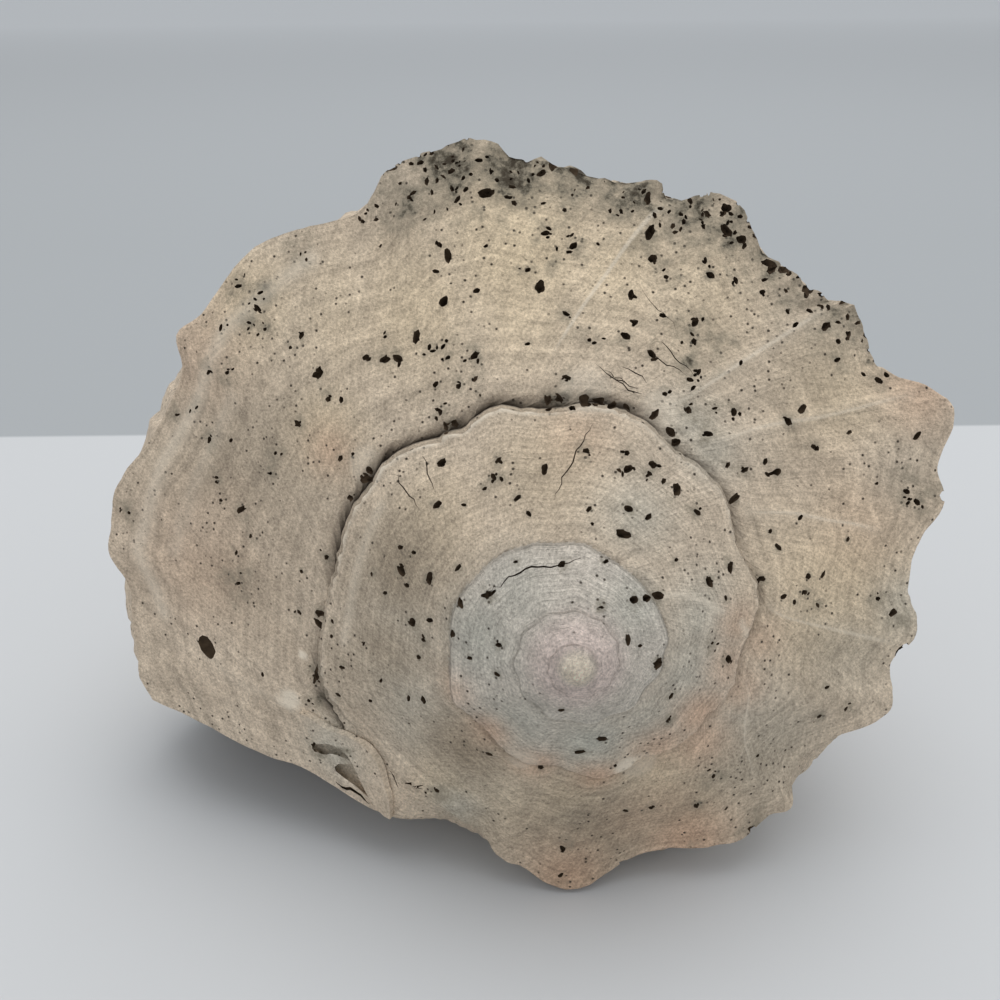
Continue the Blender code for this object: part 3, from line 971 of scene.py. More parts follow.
# Soft patches of each tint: growth line, place across, radius in millimetres and strength.
PATCHES = {
    "algae": (
        (460, 0.03, 2.2, 1.0), (457, 0.03, 1.8, 1.0), (449, 0.012, 2.0, 1.0), (446, 0.02, 1.6, 1.0),
        (443, 0.014, 1.4, 0.9), (487, 0.03, 2.0, 0.9), (510, 0.014, 1.8, 0.9), (516, 0.02, 1.4, 0.8),
        (440, 0.02, 1.5, 0.8), (578.5, 0.045, 1.5, 0.9), (581, 0.02, 1.2, 0.9), (583.5, 0.16, 1.5, 0.8),
        (580.5, 0.06, 1.3, 0.7), (575.5, 0.12, 1.5, 0.6), (254, 0.97, 1.5, 0.5), (527.5, 0.84, 4, 0.65),
        (531.5, 0.93, 3.5, 0.6), (530.5, 0.8, 3, 0.6), (521.5, 0.89, 4, 0.6), (540.5, 0.85, 3, 0.5),
        (413.5, 0.8, 4, 0.5), (413.5, 0.96, 3.5, 0.55), (449.5, 0.86, 5, 0.6), (464.5, 0.8, 4, 0.6),
        (468.5, 0.74, 3.5, 0.6), (386, 0.364, 3, 0.4), (331, 0.379, 3, 0.4), (394, 0.83, 2.5, 0.6),
        (558, 0.01, 3, 0.6), (566, 0.03, 3, 0.8), (506, 0.87, 7, 0.8), (500, 0.93, 8, 1.0),
        (492, 0.93, 8, 1.0), (484, 0.96, 7, 0.9), (476, 0.93, 7, 0.9), (468, 0.92, 7, 0.85),
        (461, 0.92, 7, 0.8), (455, 0.95, 7, 0.7), (448, 0.9, 7, 0.6), (441, 0.88, 7, 0.65),
        (437, 0.82, 6, 0.5), (495, 0.76, 5, 0.5), (470, 0.72, 6, 0.5), (462, 0.65, 4, 0.6),
        (481, 0.7, 5, 0.4), (450, 0.42, 5, 0.6), (446, 0.47, 6, 0.6), (443, 0.33, 4, 0.7),
        (434, 0.2, 4, 0.5), (430, 0.3, 4, 0.4), (492, 0.7, 1.2, 0.9), (479, 0.56, 1.2, 0.8),
        (345, 0.95, 4, 0.7), (333, 0.97, 3, 0.5), (296, 0.6, 3, 0.4), (412, 0.84, 5, 0.35),
        (392, 0.9, 3, 0.6), (528, 0.8, 5, 0.35), (174, 0.25, 2, 0.6), (382, 0.33, 4, 0.35),
        (-334, 0.9, 1.5, 0.7), (85, 0.7, 3, 0.4), (365, 0.5, 4, 0.3), (566, 0.06, 3, 0.5),
        (302, 0.9, 3, 0.35),
    ),
    "blush": (
        (303, 0.88, 7, 0.65), (326, 0.1, 5, 0.6), (331, 0.92, 7, 0.8), (345, 0.06, 4, 0.5),
        (362, 0.07, 4, 0.4), (520, 0.2, 4, 0.5), (428, 0.97, 6, 0.5), (405, 0.6, 9, 0.3), (0, 0.88, 5, 0.7),
        (20, 0.85, 5, 0.5), (-20, 0.85, 5, 0.6), (-45, 0.97, 3.5, 0.7), (-70, 0.97, 3.5, 0.7),
        (-95, 0.97, 3.5, 0.6), (35, 0.8, 4, 0.5), (560, 0.6, 12, 0.3), (318, 0.6, 8, 0.3),
        (-120, 0.95, 3, 0.4), (120, 0.8, 5, 0.3), (540, 0.9, 9, 0.3),
    ),
    "cool": (
        (579.5, 0.08, 5, 0.6), (-60, 0.4, 7, 0.9), (-100, 0.5, 7, 0.7), (85, 0.4, 6, 0.5),
        (10, 0.5, 8, 0.7), (30, 0.4, 7, 0.6), (-160, 0.6, 7, 0.7), (-200, 0.5, 6, 0.5), (-290, 0.7, 5, 0.6),
        (420, 0.08, 5, 0.5), (430, 0.13, 5, 0.5), (275, 0.87, 5, 0.8), (296, 0.45, 4, 0.9),
        (300, 0.3, 6, 0.3), (395, 0.93, 6, 0.5), (352, 0.6, 9, 0.5), (345, 0.25, 8, 0.5),
        (225, 0.35, 9, 0.5), (200, 0.35, 9, 0.35), (240, 0.55, 7, 0.4), (412, 0.75, 6, 0.3),
        (-30, 0.4, 7, 0.6), (380, 0.7, 8, 0.3), (262, 0.5, 8, 0.35),
    ),
    # Partly painted light: besides the shell's own cream tone, these patches lighten the top of the ramp and
    # the right side, which face the light.
    "cream_and_light": (
        (390, 0.5, 13, 0.7), (378, 0.3, 8, 0.4), (480, 0.4, 10, 0.6), (405, 0.6, 10, 0.4),
        (265, 0.72, 6, 0.6), (485, 0.62, 14, 0.8), (470, 0.6, 12, 0.6), (500, 0.5, 12, 0.6),
        (520, 0.28, 7, 0.6), (530, 0.85, 9, 0.6), (456, 0.6, 12, 0.5), (430, 0.75, 10, 0.5),
        (165, 0.5, 8, 0.4), (125, 0.6, 9, 0.4), (310, 0.25, 9, 0.6), (290, 0.25, 8, 0.6),
        (270, 0.5, 9, 0.4), (325, 0.5, 9, 0.4), (515, 0.6, 12, 0.4),
    ),
    # Painted shade, with some of the shell's own drab tone: most of these patches darken the left, the
    # bottom and the left of the turn before, which face away from the light.
    "drab_and_shade": (
        (540, 0.5, 15, 0.6), (525, 0.3, 9, 0.4), (553, 0.8, 10, 0.4), (184, 0.5, 9, 1.0),
        (212, 0.5, 8, 0.7), (225, 0.75, 7, 0.5), (205, 0.8, 5, 0.5), (302, 0.55, 14, 1.0),
        (305, 0.9, 9, 1.0), (282, 0.9, 7, 0.6), (222, 0.6, 8, 0.5), (248, 0.3, 8, 1.0), (325, 0.6, 9, 0.8),
        (348, 0.62, 10, 0.6), (556, 0.4, 9, 0.5), (128, 0.5, 7, 0.5), (378, 0.5, 10, 0.4),
        (432, 0.58, 7, 0.35),
    ),
    "chalk": (
        (573.2, 0.2, 1.9, 0.8), (559.5, 0.086, 0.8, 1.0), (453, 0.05, 4, 0.3), (510, 0.05, 3, 0.3),
        (-75, 0.97, 2.5, 0.4), (-33, 0.97, 2.0, 0.7), (436, 0.08, 3, 0.35), (300, 0.03, 3, 0.3),
    ),
}

TINTS = (*PATCHES, "crevice_shade_and_grime", "inner", "nipple", "mauve")


def reach_of(points: np.ndarray, line: np.ndarray) -> np.ndarray:
    """Measures how far each point is from a line.

    Args:
        points: the points, one a row.
        line: the line's own points, one a row.

    Returns:
        The distances.
    """
    best = np.full(len(points), np.inf)
    for a, b in zip(line, line[1:]):
        along = b - a
        share = np.clip((points - a) @ along / (along @ along), 0.0, 1.0)
        best = np.minimum(best, np.linalg.norm(points - (a + share[:, None] * along), axis=1))
    return best


@dataclass(frozen=True)
class Wear:
    """How the outside has grown and worn.

    Heights are in millimetres, and so are the nipple's sizes. Growth lines, spacings and lengths along
    the growth are in degrees. Widths are places across. Shares and changes are factors.
    """

    full_grown: float = 480.0
    largest: float = 1.1
    covered: float = 240.0
    ring_height: float = 0.34
    ring_spacing: float = 4.2
    band_height: float = 0.17
    band_length: float = 40.0
    bands_on_ramp: float = 14.0
    bands_on_side: float = 50.0
    lump_height: float = 0.45
    lump_spacing: float = 13.0
    eaten_starts: tuple[float, float] = (428.0, 440.0)
    eaten_ends: tuple[float, float] = (500.0, 514.0)
    eaten_ramp: tuple[float, float] = (0.8, 0.97)
    eaten_height: float = -0.3
    tooth_height: float = 1.1
    tooth_spacing: float = 1.9
    rim_height: float = 0.22
    rim_spacing: float = 2.3
    depth_change: float = 0.55
    depth_spacing: float = 6.0
    seam_width: float = 0.012
    dip_width: float = 0.075
    dip_share: float = 0.7
    beside_width: float = 0.05
    waver_height: float = 0.45
    waver_spacing: float = 3.4
    waver_start: float = 60.0
    jag_height: float = 0.5
    jag_spacing: float = 1.3
    lifted_out: float = 0.5
    lifted_up: float = 0.6
    lifted_share: float = 0.45
    lifted_jags: float = 0.9
    nipple_span: tuple[float, float] = (1.3, 2.8)
    nipple_top: float = 0.35
    nipple_radius: float = 2.2
    dirt_round_holes: float = 0.6
    # Where the crevice's painted shade and grime fade out towards the lip.
    crevice_shade_ends: tuple[float, float] = (567.0, 574.0)


class Weathering:
    """The wear of the outside, worked out for all of its vertices at once."""

    def __init__(self, wall: bpy.types.Object, growth: Growth, wear: Wear = Wear()) -> None:
        """Reads where each vertex is on the shell.

        Args:
            wall: the closed outside in the shell's own frame.
            growth: the growth law.
            wear: how much of each kind of wear there is.
        """
        self.mesh = wall.data
        self.growth = growth
        self.wear = wear
        self.points = coordinates(self.mesh)
        self.grown, self.across = WhelkShell.noted(self.mesh, "grown"), WhelkShell.noted(self.mesh, "across")
        self.on_ramp = self.across <= 1.0
        self.ramp = np.clip(self.across, 0.0, 1.0)
        self.side = np.clip(self.across - 2.0, 0.0, 1.0)
        full = growth.scale(wear.full_grown)
        self.size = np.clip(growth.scale(self.grown) / full, 0.0, wear.largest)
        outer = (self.across > 1.0) | ((self.ramp > 0.5) & (self.grown < wear.covered))
        leaning = self.grown + TURN - growth.lean(self.grown, self.across)
        self.under = np.where(outer, leaning, self.grown)
        begun = smooth(self.grown, *wear.eaten_starts)
        eaten = begun * (1.0 - smooth(self.grown, *wear.eaten_ends)) * smooth(self.ramp, *wear.eaten_ramp)
        self.eaten = eaten * (1.0 - smooth(self.across, 1.0, 2.0))
        self.teeth = rough(self.grown / wear.tooth_spacing, self.across * 4.0, 41, 3)
        self.jagged = rough(self.under / wear.jag_spacing, self.under * 0.0, 73, 2)

    def relief(self) -> np.ndarray:
        """Gives the height of the growth lines, spiral bands, lumps, eaten shoulder and rough rim."""
        wear, grown, across, ramp, side = self.wear, self.grown, self.across, self.ramp, self.side
        at_rim = np.where(self.on_ramp, smooth(ramp, 0.9, 1.0), 1.0 - smooth(across, 1.0, 1.9))
        below = np.where(across <= 2.0, 1.0 - smooth(across, 1.2, 1.9), smooth(side, 0.0, 0.03))
        free = np.where(self.on_ramp, smooth(ramp, 0.0, 0.05), below)
        rings = wear.ring_height * rough(grown / wear.ring_spacing, ramp * 1.2 + side * 4.0, 11, 3)
        band_place = ramp * wear.bands_on_ramp + side * wear.bands_on_side
        bands = wear.band_height * ripples(grown / wear.band_length, band_place, 21)
        lumps = wear.lump_height * rough(grown / wear.lump_spacing, ramp * 3.5 + side * 10.0, 31, 4)
        height = self.size * free * (rings + bands + lumps)
        height += self.eaten * (wear.eaten_height + wear.tooth_height * self.teeth)
        uneven = rough(grown / wear.rim_spacing, across * 3.0, 51, 3)
        height += wear.rim_height * at_rim * self.size * uneven * (1.0 - self.eaten)
        return height

    def scars(self, height: np.ndarray) -> np.ndarray:
        """Adds the scars' ridges to the height.

        Args:
            height: the height so far, which changes.

        Returns:
            How chalky each vertex is along the ridges.
        """
        chalk = np.zeros(len(self.points))
        for trail in SCARS:
            distance = reach_of(self.points, self.growth.trail(trail.places))
            ridge = np.exp(-((distance / (trail.width * MM)) ** 2))
            height += trail.height * ridge
            chalk = np.maximum(chalk, trail.chalk * ridge)
        return chalk

    def crevice(self) -> tuple[np.ndarray, np.ndarray, np.ndarray]:
        """Gives the crevice's depth where the whorls meet, its floor, and the dip of the ramp to it."""
        wear, ramp, under = self.wear, self.ramp, self.under
        uneven = rough(under / wear.depth_spacing, under * 0.0, 61, 3)
        depth = eased(under, CREVICE) * (1.0 + wear.depth_change * uneven)
        below = smooth(self.across, 1.75, 2.0) * (1.0 - smooth(self.side, 0.0, 0.01))
        seam = np.where(self.on_ramp, 1.0 - smooth(ramp, 0.0, wear.seam_width), below)
        sloped = (1.0 - smooth(ramp, 0.0, wear.dip_width)) * smooth(ramp, 0.0, wear.seam_width)
        return depth, seam, np.where(self.on_ramp, sloped, 0.0)

    def roughen(self, depth: np.ndarray) -> None:
        """Makes the crevice's edges waver in and out, and lifts the broken edge above it.

        Args:
            depth: the crevice's depth.
        """
        wear, ramp, across, under = self.wear, self.ramp, self.across, self.under
        outward = self.points * np.array([1.0, 0.0, 1.0])
        outward /= np.maximum(np.linalg.norm(outward, axis=1), 1e-6)[:, None]
        covered = self.grown < wear.covered
        inner = np.maximum(1.0 - smooth(ramp, 0.0, wear.beside_width), covered * smooth(ramp, 0.88, 1.0))
        beside = np.where(self.on_ramp, inner, 1.0 - smooth(self.side, 0.0, 0.04))
        wavy = wear.waver_height * rough(under / wear.waver_spacing, under * 0.0, 71, 3)
        waver = (wavy + wear.jag_height * self.jagged) * beside * self.size * (under > wear.waver_start)
        self.points += outward * (waver * MM)[:, None]
        lifted = np.where(self.on_ramp, smooth(ramp, 0.93, 1.0), 1.0 - smooth(across, 1.0, 1.7)) * covered
        rise = (wear.lifted_share + wear.lifted_jags * self.jagged) * depth * lifted * self.size * MM
        self.points += (outward * wear.lifted_out - np.array([0.0, wear.lifted_up, 0.0])) * rise[:, None]

    def wear_nipple(self) -> np.ndarray:
        """Wears the first turns to a smooth round nipple, and gives each vertex's distance from the axis."""
        wear = self.wear
        radius = np.linalg.norm(self.points[:, [0, 2]], axis=1)
        start, end = wear.nipple_span
        worn = 1.0 - smooth(radius, start * MM, end * MM)
        dome = wear.nipple_top * MM + radius**2 / (2.0 * wear.nipple_radius * MM)
        self.points[:, 1] += (dome - self.points[:, 1]) * worn * (self.across <= 2.0)
        return radius

    def patches(self, chalk: np.ndarray) -> dict[str, np.ndarray]:
        """Gives the strength of each tint in its soft patches and round the borings.

        Args:
            chalk: how chalky each vertex is along the ridges.
        """
        tints = {name: np.zeros(len(self.points)) for name in PATCHES}
        tints["chalk"] = chalk
        for name, patches in PATCHES.items():
            sharpness = 8 if name == "chalk" else 2
            for angle, over, reach, strength in patches:
                distance = self.distance(float(angle), over, reach)
                tints[name] = np.maximum(tints[name], strength * np.exp(-(distance**sharpness)))
        for cluster in CLUSTERS:
            distance = self.distance(cluster.grown, cluster.across, cluster.spread + 1.1)
            dirt = self.wear.dirt_round_holes * np.exp(-(distance**2))
            tints["algae"] = np.maximum(tints["algae"], dirt)
        return tints

    def distance(self, grown: float, across: float, reach: float) -> np.ndarray:
        """Gives each vertex's distance from a place, as a share of a reach in millimetres."""
        centre = self.growth.trail(((grown, across),))[0]
        return np.linalg.norm(self.points - centre, axis=1) / (reach * MM)

    def tint(self, tints: dict[str, np.ndarray], radius: np.ndarray,
             crevice: tuple[np.ndarray, np.ndarray, np.ndarray]) -> None:
        """Adds the crevice's painted shade and grime, the tints of the eaten shoulder and the spire, and the
        apex's painted highlight, and notes them all.

        Args:
            tints: the tints so far.
            radius: each vertex's distance from the axis.
            crevice: its depth, its floor and the dip towards it.
        """
        depth, seam, dip = crevice
        top = np.where(self.on_ramp, smooth(self.ramp, 0.965, 1.0), 1.0 - smooth(self.across, 1.0, 1.2))
        edge = top * (self.grown < self.wear.covered)
        edge *= np.clip(0.8 + 0.9 * self.jagged, 0.0, 1.0)
        tints["chalk"] = np.maximum(tints["chalk"], edge * smooth(depth, 0.15, 0.9))
        tints["algae"] = np.maximum(tints["algae"], self.eaten * (0.5 - 0.7 * self.teeth))
        # Painted shade, with some grime: the crevice's floor and the ramp's dip towards it are darkened, the
        # more the deeper the crevice.
        painted_crevice_shade = np.maximum(seam, (0.7 + 0.3 * self.jagged) * dip) * smooth(depth, 0.05, 0.9)
        tints["crevice_shade_and_grime"] = np.clip(painted_crevice_shade * 1.1, 0.0, 1.0)
        tints["crevice_shade_and_grime"] *= 1.0 - smooth(self.under, *self.wear.crevice_shade_ends)
        tints["inner"] = 1.0 - smooth(self.growth.scale(self.grown) / MM, 17.0, 30.0)
        # Painted highlight on the worn apex, strongest at the axis and gone by 3.2 mm from it, over its own
        # pale tone.
        tints["nipple"] = 1.0 - smooth(radius, 1.0 * MM, 3.2 * MM)
        ring = 1.0 - smooth(radius, 4.0 * MM, 8.5 * MM)
        tints["mauve"] = 0.8 * smooth(radius, 1.5 * MM, 3.2 * MM) * ring
        for name, values in tints.items():
            WhelkShell.note(self.mesh, name, np.clip(values, 0.0, 1.0))


def weather(wall: bpy.types.Object, growth: Growth) -> None:
    """Gives the outside its growth lines, scars, crevice, worn rim and broken lip, and its tints.

    Args:
        wall: the closed outside in the shell's own frame.
        growth: the growth law.
    """
    work = Weathering(wall, growth)
    height = work.relief()
    chalk = work.scars(height)
    depth, seam, dip = work.crevice()
    work.points = work.points + outward_normals(wall.data) * (height * MM)[:, None]
    work.points[:, 1] += (depth * seam + work.wear.dip_share * depth * dip) * MM
    work.roughen(depth)
    radius = work.wear_nipple()
    write_coordinates(wall.data, growth.pulled(work.points))
    work.tint(work.patches(chalk), radius, (depth, seam, dip))


@dataclass(frozen=True)
class Cluster:
    """Borings close together: growth line, place across, how many, how far apart and how wide (mm)."""

    grown: float
    across: float
    count: int
    spread: float
    radius: float


# Where the boring sponges and worms have been at work on the spire and the shoulder.
CLUSTERS = tuple(Cluster(*row) for row in (
    # the shoulder, along the top
    (493, 0.79, 2, 0.7, 0.8), (496, 0.91, 3, 2.5, 0.45), (499.5, 0.9, 3, 3, 0.45),
    (492, 0.96, 3, 2, 0.45), (489, 0.94, 3, 2.5, 0.5), (507, 0.87, 3, 1.2, 0.5), (504, 0.86, 2, 1, 0.4),
    (514.5, 0.97, 1, 0, 0.5), (500, 0.77, 3, 2, 0.35), (497, 0.79, 3, 1.5, 0.4),
    (489.5, 0.79, 1, 0, 0.4), (474, 0.91, 5, 3, 0.5), (476, 0.85, 3, 1.5, 0.45),
    (469.5, 0.77, 2, 0.5, 0.7), (466, 0.68, 3, 1, 0.55), (462, 0.63, 3, 1.5, 0.55),
    (468, 0.89, 3, 2, 0.5), (465.5, 0.9, 4, 2, 0.6), (464, 0.84, 3, 1.5, 0.45),
    (464.5, 0.95, 4, 2, 0.7), (461.5, 0.87, 3, 1.5, 0.6), (460, 0.91, 1, 0, 0.85),
    (459, 0.71, 2, 1, 0.4), (456.5, 0.67, 2, 1, 0.45), (455, 0.77, 2, 1.2, 0.5),
    (455, 0.95, 3, 2, 0.55), (441.5, 0.85, 2, 1, 0.6), (439.5, 0.91, 2, 1, 0.5),
    (435.5, 0.8, 1, 0, 0.5),
    # the upper ramp
    (497.5, 0.64, 2, 1.2, 0.5), (495.5, 0.59, 1, 0, 0.75), (497, 0.55, 1, 0, 0.45),
    (489.5, 0.59, 1, 0, 0.3), (483, 0.69, 4, 1.5, 0.45), (478, 0.66, 5, 2, 0.5),
    (475, 0.69, 1, 0, 0.35), (478.5, 0.47, 1, 0, 0.8), (482, 0.53, 2, 1.5, 0.35),
    (494, 0.43, 1, 0, 0.85), (488.5, 0.44, 1, 0, 0.4), (471, 0.37, 2, 1.2, 0.35),
    (474.5, 0.24, 1, 0, 0.4), (463, 0.27, 3, 2, 0.5), (500.5, 0.41, 2, 0.7, 0.6),
    (506.5, 0.45, 3, 1.2, 0.4), (509.5, 0.39, 2, 0.8, 0.55), (506, 0.36, 3, 1, 0.5),
    (503.5, 0.35, 2, 0.8, 0.5), (497, 0.345, 3, 1.2, 0.5), (493, 0.3, 4, 1.5, 0.5),
    (491, 0.25, 2, 0.9, 0.45), (484, 0.2, 3, 1.5, 0.45), (494, 0.2, 2, 0.8, 0.45),
    (487, 0.14, 3, 1, 0.45), (482, 0.12, 2, 0.8, 0.4), (479, 0.06, 1, 0, 0.4),
    (461, 0.11, 3, 1.2, 0.45), (515, 0.3, 1, 0, 0.5), (491, 0.09, 4, 1.6, 0.5), (460, 0.03, 3, 1.5, 0.4),
    # the ramp past the second long scar
    (463, 0.48, 3, 1.2, 0.5), (455.5, 0.44, 1, 0, 0.55), (458, 0.37, 2, 0.8, 0.5),
    (457, 0.3, 3, 1.2, 0.5), (450.5, 0.47, 3, 1, 0.45), (447.5, 0.41, 4, 1.5, 0.5),
    (450, 0.27, 3, 0.8, 0.5), (442, 0.34, 4, 1.5, 0.5), (440.5, 0.5, 1, 0, 0.4), (441, 0.28, 3, 1.5, 0.5),
    (439.5, 0.14, 2, 0.7, 0.5), (434.5, 0.04, 2, 0.6, 0.5), (434.5, 0.18, 4, 1.2, 0.5),
    (432.5, 0.26, 2, 0.6, 0.45), (430, 0.3, 3, 1, 0.6), (429.5, 0.05, 1, 0, 0.6),
    (425.5, 0.03, 2, 0.6, 0.6), (426, 0.14, 3, 1, 0.5), (427, 0.54, 1, 0, 0.8),
    (424.5, 0.44, 2, 0.9, 0.45), (418.5, 0.49, 3, 1, 0.5), (421, 0.64, 1, 0, 0.35),
    (419.5, 0.83, 1, 0, 0.5), (432, 0.94, 2, 1.2, 0.5), (415.5, 0.25, 1, 0, 0.4),
    (413, 0.28, 3, 1.1, 0.5), (413, 0.14, 2, 0.7, 0.45), (414.5, 0.09, 1, 0, 0.5),
    (403, 0.03, 1, 0, 0.6), (412, 0.83, 4, 2, 0.45), (410.5, 0.86, 3, 2, 0.4),
    (411.5, 0.67, 1, 0, 0.35), (401, 0.28, 1, 0, 0.5), (396, 0.14, 1, 0, 0.35),
    (392, 0.16, 1, 0, 0.4),
    # the last half turn, down to the lip
    (535.5, 0.89, 2, 1.8, 0.4), (528, 0.73, 3, 1.5, 0.4), (528.5, 0.81, 3, 2, 0.4),
    (521.5, 0.6, 2, 0.6, 0.4), (524, 0.6, 1, 0, 0.35), (539.5, 0.82, 2, 1, 0.4),
    (536, 0.73, 3, 1.6, 0.35), (519, 0.44, 2, 0.5, 0.7), (518, 0.34, 2, 0.8, 0.4),
    (526, 0.37, 4, 1, 0.35), (545.5, 0.86, 2, 1.2, 0.35), (549.5, 0.94, 2, 1.2, 0.35),
    (546, 0.74, 2, 1.2, 0.4), (542, 0.64, 1, 0, 0.35), (534, 0.42, 2, 1, 0.4),
    (548, 0.63, 3, 1.4, 0.45), (537, 0.4, 2, 0.9, 0.4), (514, 0.12, 1, 0, 0.45), (518, 0.15, 1, 0, 0.4),
    (509, 0.03, 1, 0, 0.5), (546.5, 0.45, 2, 1, 0.45), (549, 0.55, 1, 0, 0.35),
    (563, 0.92, 3, 2.5, 0.35), (548, 0.37, 2, 1.2, 0.5), (553, 0.42, 1, 0, 0.4),
    (533.5, 0.04, 2, 1, 0.45), (543.5, 0.13, 1, 0, 0.4), (552, 0.12, 2, 0.7, 0.4),
    (545.5, 0.02, 2, 0.6, 0.5), (548, 0.02, 1, 0, 0.55), (571, 0.3, 1, 0, 0.35),
    (560, 0.02, 3, 0.8, 0.6), (570, 0.1, 2, 1, 0.4), (583, 0.18, 2, 1, 0.5), (558, 0.41, 2, 4, 0.35),
    (527.5, 0.84, 4, 2, 0.4), (531, 0.93, 3, 1.5, 0.4), (530.5, 0.8, 3, 1.5, 0.35),
    (521.5, 0.89, 3, 2, 0.4), (582.5, 0.179, 2, 0.6, 0.45), (579, 0.045, 1, 0, 0.4),
    # black pockets in the crevice
    (461, 0.03, 3, 1, 0.75), (458, 0.03, 3, 0.9, 0.7), (450, 0.015, 4, 1.2, 0.85),
    (447, 0.02, 3, 0.9, 0.85), (443, 0.014, 2, 0.6, 0.7), (487.5, 0.025, 3, 0.9, 0.7),
    (485.5, 0.03, 2, 0.7, 0.7), (509.5, 0.014, 3, 1, 0.8), (517, 0.029, 2, 0.7, 0.7),
    (440, 0.02, 2, 0.8, 0.6),
    # the right side and the bottom
    (378.5, 0.03, 2, 0.7, 0.55), (388, 0.31, 1, 0, 0.5), (390.5, 0.41, 1, 0, 0.45),
    (379, 0.16, 1, 0, 0.5), (384, 0.3, 3, 0.8, 0.4), (380, 0.24, 1, 0, 0.35),
    (383.5, 0.41, 2, 0.7, 0.45), (399, 0.5, 1, 0, 0.35), (393.5, 0.8, 3, 1.5, 0.4),
    (392, 0.86, 1, 0, 0.6), (369, 0.57, 1, 0, 0.4), (365, 0.68, 2, 1.2, 0.35),
    (370, 0.75, 2, 1, 0.35), (348.5, 0.6, 1, 0, 0.3), (332, 0.4, 3, 2.5, 0.35), (316, 0.5, 3, 0.9, 0.5),
    (307.5, 0.44, 1, 0, 0.4), (328.5, 0.58, 2, 0.6, 0.45), (337, 0.71, 1, 0, 0.35),
    (248, 0.14, 1, 0, 0.45), (261, 0.02, 1, 0, 0.5), (296.5, 0.66, 2, 0.8, 0.45),
    (302, 0.89, 1, 0, 0.4), (268, 0.9, 3, 2, 0.4),
    # the turn before
    (218, 0.94, 1, 0, 0.45), (221.5, 0.93, 1, 0, 0.5), (227, 0.83, 2, 0.8, 0.45),
    (236, 0.92, 1, 0, 0.45), (216, 0.66, 2, 0.8, 0.35), (223.5, 0.53, 1, 0, 0.4),
    (194.5, 0.29, 3, 0.7, 0.55), (186, 0.16, 1, 0, 0.5), (197, 0.2, 2, 0.8, 0.45),
    (205.5, 0.23, 1, 0, 0.45), (225, 0.36, 1, 0, 0.5), (222, 0.24, 1, 0, 0.5),
    (233, 0.68, 1, 0, 0.35), (161, 0.82, 2, 0.8, 0.55), (141.5, 0.65, 2, 0.6, 0.5),
    (142.5, 0.56, 4, 1, 0.55), (145.5, 0.51, 1, 0, 0.45), (162, 0.54, 2, 0.6, 0.5),
    (152.5, 0.45, 1, 0, 0.4), (130.5, 0.34, 1, 0, 0.6), (123.5, 0.21, 1, 0, 0.45),
    (115, 0.68, 3, 1.4, 0.5), (125.5, 0.56, 1, 0, 0.5), (100, 0.26, 1, 0, 0.45),
    (100, 0.64, 4, 1.2, 0.55), (81, 0.21, 3, 0.7, 0.7), (94, 0.16, 1, 0, 0.35),
    (180.5, 0.55, 1, 0, 0.4), (176, 0.44, 1, 0, 0.4), (184.5, 0.47, 2, 0.7, 0.5),
    (185.5, 0.39, 1, 0, 0.4), (174, 0.25, 2, 0.6, 0.7), (196, 0.55, 1, 0, 0.4),
    (196.5, 0.7, 1, 0, 0.4), (97, 0.8, 2, 0.6, 0.5), (95, 0.73, 3, 0.9, 0.45), (90.5, 0.76, 1, 0, 0.4),
    (85.5, 0.76, 1, 0, 0.65), (88.5, 0.39, 2, 0.6, 0.55), (75, 0.73, 3, 1, 0.45),
    (81.5, 0.44, 1, 0, 0.4), (104, 0.74, 2, 0.8, 0.4), (58.5, 0.35, 1, 0, 0.45),
    (55, 0.84, 3, 0.7, 0.6), (48.5, 0.58, 2, 0.8, 0.5), (42, 0.66, 1, 0, 0.4), (23, 0.57, 2, 0.9, 0.4),
    (22.5, 0.86, 2, 0.7, 0.5), (-10, 0.37, 1, 0, 0.5), (-16, 0.56, 3, 0.8, 0.35), (40, 0.06, 2, 0.5, 0.7),
    (158.5, 0.13, 1, 0, 0.4),
    # the small early turns
    (-203, 0.86, 1, 0, 0.4), (-231.5, 0.71, 2, 0.5, 0.45), (-182, 0.73, 3, 0.6, 0.4),
    (-164, 0.98, 1, 0, 0.5), (-147.5, 0.99, 1, 0, 0.5), (-143, 0.7, 1, 0, 0.45),
    (-145, 0.3, 1, 0, 0.4), (-169, 0.28, 2, 0.5, 0.45), (-280.5, 0.22, 2, 0.5, 0.35),
    (-252.5, 0.97, 1, 0, 0.4), (-287, 0.95, 1, 0, 0.5), (-286, 0.74, 2, 0.5, 0.55),
    (-324, 0.22, 1, 0, 0.45), (-327.5, 0.45, 1, 0, 0.35), (-334, 0.91, 2, 0.5, 0.7),
    (-438.5, 0.6, 1, 0, 0.5), (-56, 0.32, 3, 0.5, 0.5), (-61, 0.57, 1, 0, 0.45),
    (-39.5, 0.86, 1, 0, 0.35),
))


